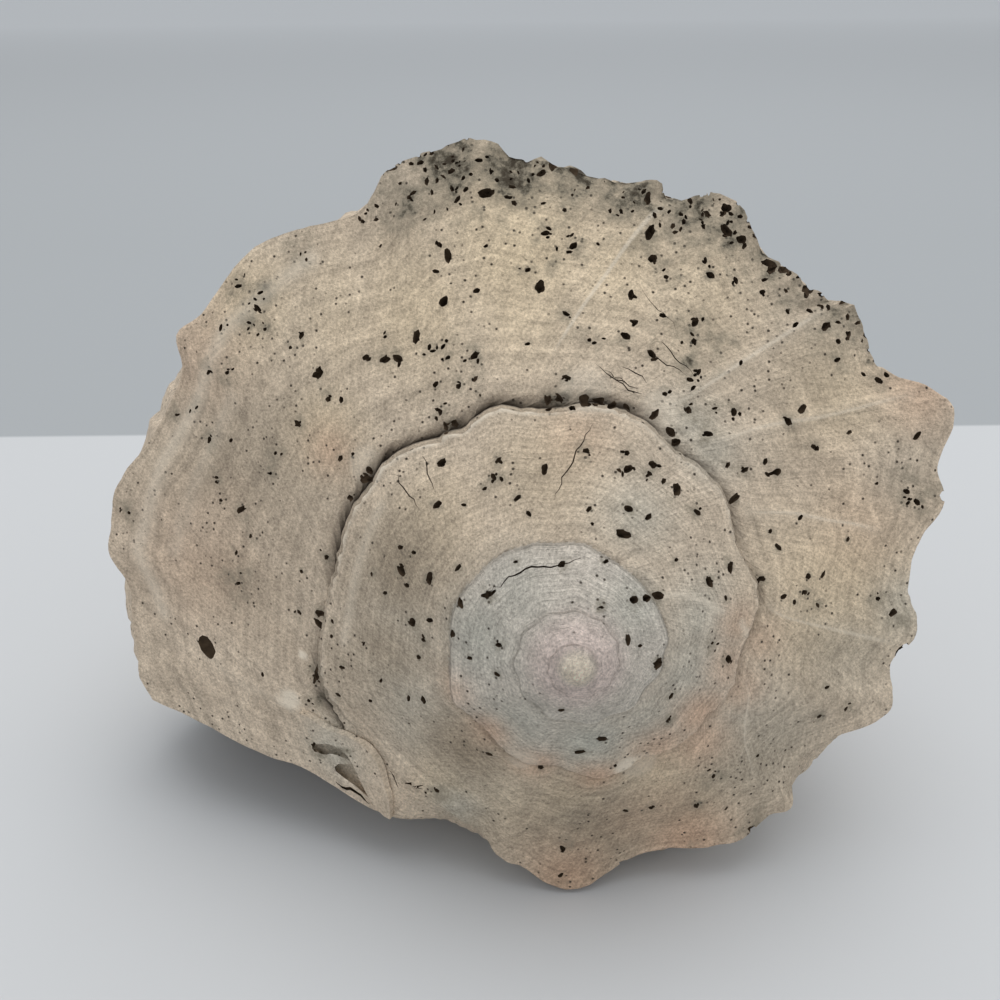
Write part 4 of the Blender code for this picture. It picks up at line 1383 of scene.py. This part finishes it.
@dataclass(frozen=True)
class Borings:
    """All the holes and chips in the outside, as a few cutters in each of which no two holes touch.

    The first hole of a cluster is at its place and is the widest. The others stray from it by chance.
    A hole's radii and depth are in millimetres, and it is sunk by a share of its depth. A chip on a knob
    is its growth line, its place across and its radius.
    """

    growth: Growth
    seed: int = 7
    scattered: int = 70
    chips: int = 46
    pits: int = 120
    stray: float = 0.55
    first_width: float = 1.1
    other_width: float = 0.65
    fine_from: float = 0.55
    uneven: float = 0.22
    lengths: tuple[float, float] = (1.0, 1.7)
    second_width: float = 0.85
    depth_per_width: tuple[float, float] = (1.8, 2.6)
    depths: tuple[float, float] = (1.0, 2.1)
    sunk: float = 0.25
    knob_chips: tuple[tuple[float, float, float], ...] = (
        (388.5, 1.0, 1.0), (390.0, 1.1, 0.9), (413.0, 1.0, 0.8), (345.0, 1.0, 0.8), (318.0, 1.05, 0.9),
    )

    def build(self) -> list[bpy.types.Object]:
        """Builds the cutters: a worn pebble shape for each hole."""
        chance = np.random.default_rng(self.seed)
        shapes = []
        for cluster in CLUSTERS:
            for i in range(cluster.count):
                away = cluster.spread * chance.normal(0.0, self.stray, 2) if i else np.zeros(2)
                share = self.other_width if i else self.first_width
                width = cluster.radius * chance.uniform(0.75, 1.25) * share
                shapes.append(self.hole(chance, cluster.grown, cluster.across, away, width))
        for _ in range(self.scattered):
            grown, across = chance.uniform(300.0, 580.0), 2.03 + 0.45 * chance.random()
            for _ in range(chance.integers(1, 4)):
                away = chance.normal(0.0, 1.4, 2)
                shapes.append(self.hole(chance, grown, across, away, chance.uniform(0.3, 0.65)))
        for _ in range(self.chips):
            grown, across = chance.uniform(434.0, 514.0), chance.uniform(0.95, 1.7)
            shapes.append(self.hole(chance, grown, across, np.zeros(2), chance.uniform(0.5, 1.1)))
        for _ in range(self.pits):
            grown, across = chance.uniform(432.0, 514.0), 1.0 - 0.2 * chance.random() ** 1.6
            shapes.append(self.hole(chance, grown, across, np.zeros(2), chance.uniform(0.28, 0.55)))
        for grown, across, width in self.knob_chips:
            shapes.append(self.hole(chance, grown, across, np.zeros(2), width))
        shapes.append(self.slot(chance))
        return [self.joined(layer) for layer in self.apart(shapes)]

    @staticmethod
    def apart(shapes: list[tuple[np.ndarray, int]]) -> list[list[tuple[np.ndarray, int]]]:
        """Sorts the holes into layers in which no two touch.

        Args:
            shapes: each hole's points and fineness.

        Returns:
            The layers.
        """
        layers, taken = [], []
        for shape, fine in shapes:
            middle = shape.mean(axis=0)
            reach = np.linalg.norm(shape - middle, axis=1).max()
            free = [all(np.linalg.norm(middle - m) > reach + r for m, r in spots) for spots in taken]
            if True not in free:
                layers.append([])
                taken.append([])
                free.append(True)
            first = free.index(True)
            layers[first].append((shape, fine))
            taken[first].append((middle, reach))
        return layers

    def hole(self, chance: np.random.Generator, grown: float, across: float, away: np.ndarray,
             width: float) -> tuple[np.ndarray, int]:
        """Makes one hole's points.

        Args:
            chance: the source of chance.
            grown: the growth line of its cluster.
            across: the place across of its cluster.
            away: millimetres from there, along the growth and across it.
            width: its radius in millimetres.

        Returns:
            The points, and how finely the pebble is cut.
        """
        centre, onward, over, out = self.growth.frame_at(grown, across)
        fine = 2 if width > self.fine_from else 1
        ball = PEBBLES[fine][0]
        pebble = ball * (1.0 + chance.uniform(-self.uneven, self.uneven, (len(ball), 1)))
        turn = chance.uniform(0.0, math.pi)
        long = chance.uniform(*self.lengths)
        first = onward * math.cos(turn) + over * math.sin(turn)
        second = np.cross(out, first)
        shallowest, deepest = self.depths
        deep = min(deepest, max(shallowest, width * chance.uniform(*self.depth_per_width)))
        axes = np.stack((first * width * long, second * width * self.second_width, out * deep)) * MM
        middle = centre + (onward * away[0] + over * away[1]) * MM - out * (deep * self.sunk * MM)
        return self.growth.pulled(middle + pebble @ axes), fine

    def slot(self, chance: np.random.Generator) -> tuple[np.ndarray, int]:
        """Makes the one big oval hole low on the last growth."""
        centre, onward, over, out = self.growth.frame_at(574.0, 0.6)
        ball = PEBBLES[2][0]
        pebble = ball * (1.0 + chance.uniform(-0.08, 0.08, (len(ball), 1)))
        long = (onward * 0.9 - over * 0.45) * 2.3
        short = (onward * 0.45 + over * 0.9) * 1.4
        axes = np.stack((long, short, out * 1.1)) * MM
        return centre - out * (0.25 * MM) + pebble @ axes, 2

    @staticmethod
    def joined(shapes: list[tuple[np.ndarray, int]]) -> bpy.types.Object:
        """Makes one mesh of all the holes.

        Args:
            shapes: each hole's points and fineness.

        Returns:
            The cutter.
        """
        points, faces, count = [], [], 0
        for shape, fine in shapes:
            points.append(shape)
            faces.append(PEBBLES[fine][1] + count)
            count += len(shape)
        mesh = bpy.data.meshes.new("borings")
        mesh.from_pydata(np.concatenate(points).tolist(), [], np.concatenate(faces).tolist())
        mesh.polygons.foreach_set("material_index", [Slot.DIRT_AND_SHADE.value] * len(mesh.polygons))
        return object_of(mesh)


# The points and faces of a round pebble of radius 1, by how finely it is cut.
PEBBLES: dict[int, tuple[np.ndarray, np.ndarray]] = {}


def make_pebbles() -> dict[int, tuple[np.ndarray, np.ndarray]]:
    """Makes the round pebbles that the holes are cut with, 20 and 80 faces."""
    pebbles = {}
    for fine in (1, 2):
        bpy.ops.mesh.primitive_ico_sphere_add(subdivisions=fine, radius=1.0)
        ball = bpy.context.object
        faces = np.array([tuple(face.vertices) for face in ball.data.polygons])
        pebbles[fine] = (coordinates(ball.data), faces)
        bpy.data.objects.remove(ball)
    return pebbles


@dataclass(frozen=True)
class Cracks:
    """The fine open cracks, as one cutter of thin wedges.

    Each line is the crack's width in millimetres and its places. Depth and spacing are in millimetres.
    """

    growth: Growth
    lines: tuple[tuple[float, tuple[tuple[float, float], ...]], ...] = (
        (0.2, ((175.0, 0.93), (173.0, 0.8), (169.0, 0.6))),
        (0.2, ((165.5, 0.92), (165.0, 0.78), (163.0, 0.65))),
        (0.2, ((118.5, 0.88), (117.0, 0.6), (116.5, 0.32))),
        (1.0, ((-177.5, 0.79), (-182.0, 0.74), (-188.0, 0.7))),
        (0.3, ((-184.0, 0.72), (-195.0, 0.69), (-209.0, 0.7), (-221.0, 0.686), (-231.5, 0.71),
               (-241.5, 0.8))),
        (0.25, ((258.5, 1.15), (260.5, 1.25), (262.5, 1.35))),
        (0.5, ((263.0, 1.15), (265.3, 1.05), (265.0, 0.93))),
        (0.2, ((265.3, 1.05), (266.5, 0.97))),
        (0.2, ((457.5, 0.164), (452.0, 0.129), (447.0, 0.107))),
        (0.2, ((454.5, 0.15), (449.0, 0.114), (444.5, 0.107))),
        (0.2, ((452.0, 0.179), (448.5, 0.171), (444.5, 0.15))),
        (0.2, ((451.0, 0.279), (445.5, 0.243), (442.0, 0.271))),
        (0.2, ((452.0, 0.329), (445.5, 0.286), (441.5, 0.307))),
        (0.2, ((462.5, 0.529), (457.0, 0.464), (451.0, 0.393))),
        (0.2, ((451.5, 0.121), (447.0, 0.105), (442.5, 0.1))),
        (0.7, ((556.0, 0.01), (557.5, 0.012), (558.5, 0.014), (563.5, 0.043))),
        (0.9, ((589.0, 0.157), (587.5, 0.093), (587.0, 0.05), (588.0, 0.029))),
    )
    depth: float = 1.0
    spacing: float = 0.8
    seed: int = 3

    def build(self) -> bpy.types.Object:
        """Builds the cutter."""
        chance = np.random.default_rng(self.seed)
        sheet = bmesh.new()
        for width, line in self.lines:
            self.wedge(sheet, chance, np.array(line), width)
        for face in sheet.faces:
            face.material_index = Slot.DIRT_AND_SHADE.value
        bmesh.ops.recalc_face_normals(sheet, faces=sheet.faces)
        mesh = bpy.data.meshes.new("cracks")
        sheet.to_mesh(mesh)
        sheet.free()
        return object_of(mesh)

    def wedge(self, sheet: bmesh.types.BMesh, chance: np.random.Generator, line: np.ndarray,
              width: float) -> None:
        """Adds one crack: a wavering wedge that runs out at both ends.

        Args:
            sheet: the mesh that takes it.
            chance: the source of chance.
            line: its places, one a row.
            width: how wide it opens, in millimetres.
        """
        spots = self.growth.trail(tuple(map(tuple, line)))
        length = np.concatenate(([0.0], np.cumsum(np.linalg.norm(np.diff(spots, axis=0), axis=1))))
        count = max(4, int(length[-1] / (self.spacing * MM)))
        stops = np.linspace(0.0, length[-1], count)
        rings = []
        for i, stop in enumerate(stops):
            grown, across = (float(np.interp(stop, length, line[:, k])) for k in (0, 1))
            centre, _, _, out = self.growth.frame_at(grown, across)
            k = min(max(np.searchsorted(length, stop) - 1, 0), len(spots) - 2)
            along = (spots[k + 1] - spots[k]) / np.linalg.norm(spots[k + 1] - spots[k])
            aside = np.cross(out, along)
            aside /= np.linalg.norm(aside)
            swell = math.sin(math.pi * (i + 0.35) / (count - 0.3))
            middle = centre + aside * (chance.normal(0.0, 0.18) * MM)
            half = aside * (width * (0.35 + swell) * 0.5 * MM)
            top = middle + out * (0.5 * MM)
            bottom = middle - out * (self.depth * (0.3 + 0.7 * swell) * MM)
            ring = self.growth.pulled(np.array((top - half, top + half, bottom)))
            rings.append([sheet.verts.new(point) for point in ring])
        sweep_rings(sheet, rings)


# ---------------------------------------------------------------- finishes


def linear(hex_colour: str) -> tuple[float, float, float, float]:
    """Turns an sRGB hex colour to linear.

    Args:
        hex_colour: six hex digits, as in "b5a893".

    Returns:
        Red, green, blue and an alpha of 1.
    """
    parts = [int(hex_colour[i : i + 2], 16) / 255.0 for i in (0, 2, 4)]
    bent = [p / 12.92 if p <= 0.04045 else ((p + 0.055) / 1.055) ** 2.4 for p in parts]
    return bent[0], bent[1], bent[2], 1.0


def add_node(tree: bpy.types.NodeTree, kind: str, links: dict | None = None,
             **settings: object) -> bpy.types.Node:
    """Adds one node with its settings and links.

    Args:
        tree: the material's node tree.
        kind: the node's type, without its ShaderNode prefix.
        links: input name or number to a value or to another node's output socket.
        settings: the node's own properties.

    Returns:
        The node.
    """
    node = tree.nodes.new("ShaderNode" + kind)
    for name, value in settings.items():
        setattr(node, name, value)
    for name, value in (links or {}).items():
        if isinstance(value, bpy.types.NodeSocket):
            tree.links.new(value, node.inputs[name])
        else:
            node.inputs[name].default_value = value
    return node


def new_material(name: str) -> tuple[bpy.types.Material, bpy.types.NodeTree, bpy.types.Node]:
    """Makes a material with a plain Principled surface.

    Args:
        name: the finish's name.

    Returns:
        The material, its tree and its shader.
    """
    material = bpy.data.materials.new(name)
    material.use_nodes = True
    return material, material.node_tree, material.node_tree.nodes["Principled BSDF"]


@dataclass(frozen=True)
class ChalkyColours:
    """The tints of a dead, sun-bleached whelk, some of which also paint light and shade."""

    pale: str = "d9c9b4"
    dull: str = "b09f8b"
    # Cream tone, also painted light on the top of the ramp and the right side.
    cream_and_light: str = "dcc8a8"
    chalk: str = "e8dcc9"
    blush: str = "c8a68c"
    cool: str = "b2b1a6"
    # Drab tone, also painted shade on the left and the bottom of the shell.
    drab_and_shade: str = "9b8d7a"
    algae: str = "7d7667"
    crust: str = "453d31"
    # Painted shade, with some grime, in the crevice between the whorls.
    crevice_shade_and_grime: str = "382f26"
    inner: str = "c9c0b4"
    mauve: str = "dccac1"
    # Near white: the apex's own pale tone, with a painted highlight.
    nipple: str = "fff0da"
    pepper: str = "3f372d"


def chalky_aragonite(colours: ChalkyColours = ChalkyColours()) -> bpy.types.Material:
    """Makes the outside: bare, chalky aragonite with growth lines, faint tints, ingrained dirt and painted
    light and shade.
    """
    material, tree, shader = new_material("chalky_aragonite")
    spot = add_node(tree, "TexCoord").outputs["Object"]
    grown = add_node(tree, "UVMap", uv_map="growth").outputs["UV"]
    noted = ("cream_and_light", "chalk", "blush", "cool", "drab_and_shade", "algae", "crevice_shade_and_grime", "inner", "mauve", "nipple")
    tints = {name: add_node(tree, "Attribute", attribute_name=name).outputs["Fac"] for name in noted}

    # Mottling 12 mm across, grit 0.4 mm across and smears 2.6 mm across.
    mottle = add_node(tree, "TexNoise", {"Vector": spot, "Scale": 85.0, "Detail": 5.0, "Roughness": 0.62})
    grit = add_node(tree, "TexNoise", {"Vector": spot, "Scale": 2400.0, "Detail": 3.0, "Roughness": 0.7})
    smear = add_node(tree, "TexNoise", {"Vector": spot, "Scale": 380.0, "Detail": 5.0, "Roughness": 0.7})
    # Growth lines, hairs between them and spiral bands come from the growth map, which counts whole
    # turns one way and the ramp, step and side the other. The first two numbers are how many there
    # are in a turn, and how many across each of ramp, step and side.
    along = []
    for counts, detail, roughness in (((330.0, 5.0, 1.0), 4.0, 0.6), ((900.0, 9.0, 1.0), 3.0, 0.6),
                                      ((9.0, 30.0, 1.0), 3.0, 0.55)):
        scaled = add_node(tree, "Mapping", {"Vector": grown, "Scale": counts}).outputs["Vector"]
        along.append(add_node(tree, "TexNoise", {"Vector": scaled, "Scale": 1.0, "Detail": detail,
                              "Roughness": roughness}))
    lines, hairs, bands = along
    # Each texture, the share by which it lightens and darkens the shell, and the full height of its
    # relief in millimetres, of which the noise uses about half.
    textures = ((lines, 0.16, 0.24), (hairs, 0.07, 0.07), (bands, 0.2, 0.26), (smear, 0.22, 0.45),
                (grit, 0.40, 0.22))

    colour = add_node(tree, "Mix", {0: mottle.outputs["Fac"], 6: linear(colours.dull),
                      7: linear(colours.pale)}, data_type="RGBA").outputs[2]
    for name, shade in (("inner", colours.inner), ("cream_and_light", colours.cream_and_light), ("cool", colours.cool),
                        ("drab_and_shade", colours.drab_and_shade), ("blush", colours.blush), ("mauve", colours.mauve),
                        ("nipple", colours.nipple)):
        colour = add_node(tree, "Mix", {0: tints[name], 6: colour, 7: linear(shade)},
                          data_type="RGBA").outputs[2]
    for texture, share, _ in textures:
        factor = add_node(tree, "MapRange", {"Value": texture.outputs["Fac"], "From Min": 0.25,
                          "From Max": 0.75, "To Min": 1.0 - share, "To Max": 1.0 + share},
                          clamp=False).outputs["Result"]
        colour = add_node(tree, "Mix", {0: 1.0, 6: colour, 7: factor}, data_type="RGBA",
                          blend_type="MULTIPLY").outputs[2]

    # Pin-pricks 0.2 to 0.5 mm wide on a grid of about 1.05 mm, thickest where the dirt is.
    pricks = add_node(tree, "TexVoronoi", {"Vector": spot, "Scale": 950.0, "Randomness": 1.0})
    prick = add_node(tree, "MapRange", {"Value": pricks.outputs["Distance"], "From Min": 0.1,
                     "From Max": 0.25, "To Min": 1.0, "To Max": 0.0}).outputs["Result"]
    some = add_node(tree, "SeparateColor", {"Color": pricks.outputs["Color"]})
    worn = add_node(tree, "MapRange", {"Value": mottle.outputs["Fac"], "From Min": 0.42,
                    "From Max": 0.62}).outputs["Result"]
    thick = add_node(tree, "Math", {0: tints["algae"], 1: worn}, operation="ADD", use_clamp=True).outputs[0]
    rare = add_node(tree, "Math", {0: some.outputs["Red"], 1: thick}, operation="MULTIPLY").outputs[0]
    kept = add_node(tree, "MapRange", {"Value": rare, "From Min": 0.3, "From Max": 0.38}).outputs["Result"]
    pepper = add_node(tree, "Math", {0: prick, 1: kept}, operation="MULTIPLY").outputs[0]
    colour = add_node(tree, "Mix", {0: pepper, 6: colour, 7: linear(colours.pepper)},
                      data_type="RGBA").outputs[2]

    # Dirt spreads in blots about 2.6 mm across with a black crust in the middle; fresh scratches and
    # chalk are scraped clean; painted shade, with some grime, darkens the crevice between the whorls.
    blots = add_node(tree, "Math", {0: smear.outputs["Fac"], 1: 2.0, 2: tints["algae"]},
                     operation="MULTIPLY_ADD").outputs[0]
    dirt = add_node(tree, "MapRange", {"Value": blots, "From Min": 1.3, "From Max": 1.95}).outputs["Result"]
    crust = add_node(tree, "MapRange", {"Value": blots, "From Min": 1.85, "From Max": 2.1}).outputs["Result"]
    scraped = scratches(tree, grown)
    for mask, shade in ((dirt, colours.algae), (crust, colours.crust), (scraped, colours.chalk),
                        (tints["chalk"], colours.chalk), (tints["crevice_shade_and_grime"], colours.crevice_shade_and_grime)):
        colour = add_node(tree, "Mix", {0: mask, 6: colour, 7: linear(shade)}, data_type="RGBA").outputs[2]
    tree.links.new(colour, shader.inputs["Base Color"])

    # Relief too fine for the mesh, and the pin-pricks sunk 0.2 mm.
    relief = None
    for texture, _, tall in textures:
        part = add_node(tree, "Math", {0: texture.outputs["Fac"], 1: tall * MM},
                        operation="MULTIPLY").outputs[0]
        relief = added(tree, relief, part, "ADD")
    sunk = add_node(tree, "Math", {0: pepper, 1: -0.2 * MM}, operation="MULTIPLY").outputs[0]
    relief = added(tree, relief, sunk, "ADD")
    bump = add_node(tree, "Bump", {"Height": relief, "Distance": 1.0, "Strength": 1.0})
    tree.links.new(bump.outputs["Normal"], shader.inputs["Normal"])
    shader.inputs["Roughness"].default_value = 0.88
    shader.inputs["Specular IOR Level"].default_value = 0.3
    return material


def added(tree: bpy.types.NodeTree, total: bpy.types.NodeSocket | None, part: bpy.types.NodeSocket,
          operation: str) -> bpy.types.NodeSocket:
    """Takes one more part into a running total.

    Args:
        tree: the material's nodes.
        total: the total so far, or None before the first part.
        part: the next part.
        operation: how the two are put together, as in "ADD".

    Returns:
        The new total.
    """
    if total is None:
        return part
    return add_node(tree, "Math", {0: total, 1: part}, operation=operation).outputs[0]


@dataclass(frozen=True)
class Stroke:
    """A fresh scratch: half its width and its distance from the axis (mm), and how soon it fades in."""

    half_width: float = 0.45
    radius: float = 48.0
    core: float = 0.3
    fade: float = 0.1


def scratches(tree: bpy.types.NodeTree, grown: bpy.types.NodeSocket,
              stroke: Stroke = Stroke()) -> bpy.types.NodeSocket:
    """Draws the fresh pale line along each scar, too thin for the mesh.

    Args:
        tree: the material's nodes.
        grown: the growth map, whole turns one way and the place across the other.
        stroke: how wide and soft each line is.

    Returns:
        The strength of the line.
    """
    part = add_node(tree, "SeparateXYZ", {"Vector": grown})
    wide = stroke.half_width / (math.tau * stroke.radius)
    total = None
    for scar in (scar for scar in SCARS if scar.fresh):
        (g0, a0), (g1, a1) = scar.places[0], scar.places[-1]
        line = add_node(tree, "MapRange", {"Value": part.outputs["Y"], "From Min": a0, "From Max": a1,
                        "To Min": g0 / TURN, "To Max": g1 / TURN}).outputs["Result"]
        off = add_node(tree, "Math", {0: part.outputs["X"], 1: line}, operation="SUBTRACT").outputs[0]
        gap = add_node(tree, "Math", {0: off}, operation="ABSOLUTE").outputs[0]
        clear = add_node(tree, "MapRange", {"Value": gap, "From Min": stroke.core * wide, "From Max": wide,
                         "To Min": scar.fresh, "To Max": 0.0}).outputs["Result"]
        enter = add_node(tree, "MapRange", {"Value": part.outputs["Y"], "From Min": a0,
                         "From Max": a0 + stroke.fade}).outputs["Result"]
        leave = add_node(tree, "MapRange", {"Value": part.outputs["Y"], "From Min": a1 - stroke.fade,
                         "From Max": a1, "To Min": 1.0, "To Max": 0.0}).outputs["Result"]
        ends = add_node(tree, "Math", {0: enter, 1: leave}, operation="MULTIPLY").outputs[0]
        drawn = add_node(tree, "Math", {0: clear, 1: ends}, operation="MULTIPLY").outputs[0]
        total = added(tree, total, drawn, "MAXIMUM")
    return total


@dataclass(frozen=True)
class TwoTone:
    """A finish that wanders softly between two colours."""

    name: str
    low: str
    high: str
    noise: dict[str, float]
    surface: dict[str, float]

    def material(self) -> bpy.types.Material:
        """Makes the finish."""
        material, tree, shader = new_material(self.name)
        spot = add_node(tree, "TexCoord").outputs["Object"]
        cloud = add_node(tree, "TexNoise", {"Vector": spot, **self.noise}).outputs["Fac"]
        colour = add_node(tree, "Mix", {0: cloud, 6: linear(self.low), 7: linear(self.high)},
                          data_type="RGBA").outputs[2]
        tree.links.new(colour, shader.inputs["Base Color"])
        for name, value in self.surface.items():
            shader.inputs[name].default_value = value
        return material


def porcelain_lining() -> bpy.types.Material:
    """Makes the inside: the once glossy lining of the aperture, faded to a dull peach."""
    return TwoTone("porcelain_lining", "b9a089", "d9c9b2", {"Scale": 60.0, "Detail": 4.0},
                   {"Roughness": 0.45}).material()


def bore_dirt_and_shade() -> bpy.types.Material:
    """Makes the inside of the borings and cracks: dark, dusty dirt, made near black as painted shade in the
    deep holes.
    """
    # Painted shade: the near-black colours darken the holes and cracks beyond their dirt.
    return TwoTone("bore_dirt_and_shade", "2a2219", "58493a", {"Scale": 900.0, "Detail": 2.0},
                   {"Roughness": 1.0, "Specular IOR Level": 0.1}).material()


# ---------------------------------------------------------------- the studio


@dataclass(frozen=True)
class Studio:
    """A pale table top, a grey floor far beyond it, and soft light from above.

    Lengths are in metres, turns in degrees, and the lens and its sensor in millimetres.
    """

    camera_place: tuple[float, float, float] = (0.00466, -0.22695, 0.13412)
    camera_turn: tuple[float, float, float] = (64.688, 0.575, 1.523)
    lens: float = 39.6
    sensor: float = 36.0
    nearest: float = 0.005
    floor_size: float = 60.0
    table_edge: float = 0.1096
    edge_blur: float = 0.001
    edge_turn: float = 1.9
    room_span: tuple[float, float] = (0.4, 4.0)
    table: str = "c4c6c8"
    room: str = "9fa3a6"
    far_room: str = "c0c4c8"
    walls: str = "eceef0"
    wall_light: float = 0.88
    softbox_place: tuple[float, float, float] = (0.1, 0.1, 1.6)
    softbox_size: float = 1.6
    softbox_power: float = 13.5

    def camera(self) -> None:
        """Sets up a phone's wide lens, close in front of the spire and looking down on it."""
        lens = bpy.data.cameras.new("camera")
        lens.sensor_width = self.sensor
        lens.lens = self.lens
        lens.clip_start = self.nearest
        holder = bpy.data.objects.new("camera", lens)
        bpy.context.scene.collection.objects.link(holder)
        holder.location = self.camera_place
        holder.rotation_euler = [math.radians(a) for a in self.camera_turn]
        bpy.context.scene.camera = holder

    def floor(self) -> None:
        """Lays the table top, which darkens to the room's tone past its far edge."""
        bpy.ops.mesh.primitive_plane_add(size=self.floor_size)
        plane = bpy.context.object
        plane.name = "table_top"
        material, tree, shader = new_material("matt_laminate")
        place = add_node(tree, "TexCoord")
        mapping = add_node(tree, "Mapping", {"Vector": place.outputs["Object"],
                           "Rotation": (0.0, 0.0, -math.radians(self.edge_turn))})
        split = add_node(tree, "SeparateXYZ", {"Vector": mapping.outputs["Vector"]})
        edge = add_node(tree, "MapRange", {"Value": split.outputs["Y"],
                        "From Min": self.table_edge - self.edge_blur,
                        "From Max": self.table_edge + self.edge_blur})
        near, far = self.room_span
        away = add_node(tree, "MapRange", {"Value": split.outputs["Y"], "From Min": near, "From Max": far})
        room = add_node(tree, "Mix", {0: away.outputs["Result"], 6: linear(self.room),
                        7: linear(self.far_room)}, data_type="RGBA")
        colour = add_node(tree, "Mix", {0: edge.outputs["Result"], 6: linear(self.table),
                          7: room.outputs[2]}, data_type="RGBA")
        tree.links.new(colour.outputs[2], shader.inputs["Base Color"])
        shader.inputs["Roughness"].default_value = 0.6
        plane.data.materials.append(material)

    def lights(self) -> None:
        """Hangs one wide soft light overhead and lets a pale room fill the shadows."""
        room = bpy.data.worlds.new("pale_room")
        bpy.context.scene.world = room
        room.use_nodes = True
        background = room.node_tree.nodes["Background"]
        background.inputs["Color"].default_value = linear(self.walls)
        background.inputs["Strength"].default_value = self.wall_light
        lamp = bpy.data.lights.new("softbox", "AREA")
        lamp.size = self.softbox_size
        lamp.energy = self.softbox_power
        holder = bpy.data.objects.new("softbox", lamp)
        bpy.context.scene.collection.objects.link(holder)
        holder.location = self.softbox_place
        holder.rotation_euler = (-Vector(self.softbox_place)).to_track_quat("-Z", "Y").to_euler()
        bpy.context.scene.view_settings.view_transform = "Standard"


def main() -> None:
    """Builds the shell and its studio."""
    logging.basicConfig(level=logging.INFO, format="%(message)s")
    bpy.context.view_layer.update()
    studio = Studio()
    studio.camera()
    studio.floor()
    studio.lights()
    PEBBLES.update(make_pebbles())
    shell = WhelkShell(Growth(), Lying().matrix(frame["nodes"]["shell"]))
    piece = shell.build()
    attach(piece, "root")
    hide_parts("shell")
    log.info("%s: %d triangles", piece.name, sum(len(p.vertices) - 2 for p in piece.data.polygons))


if __name__ == "__main__":
    main()
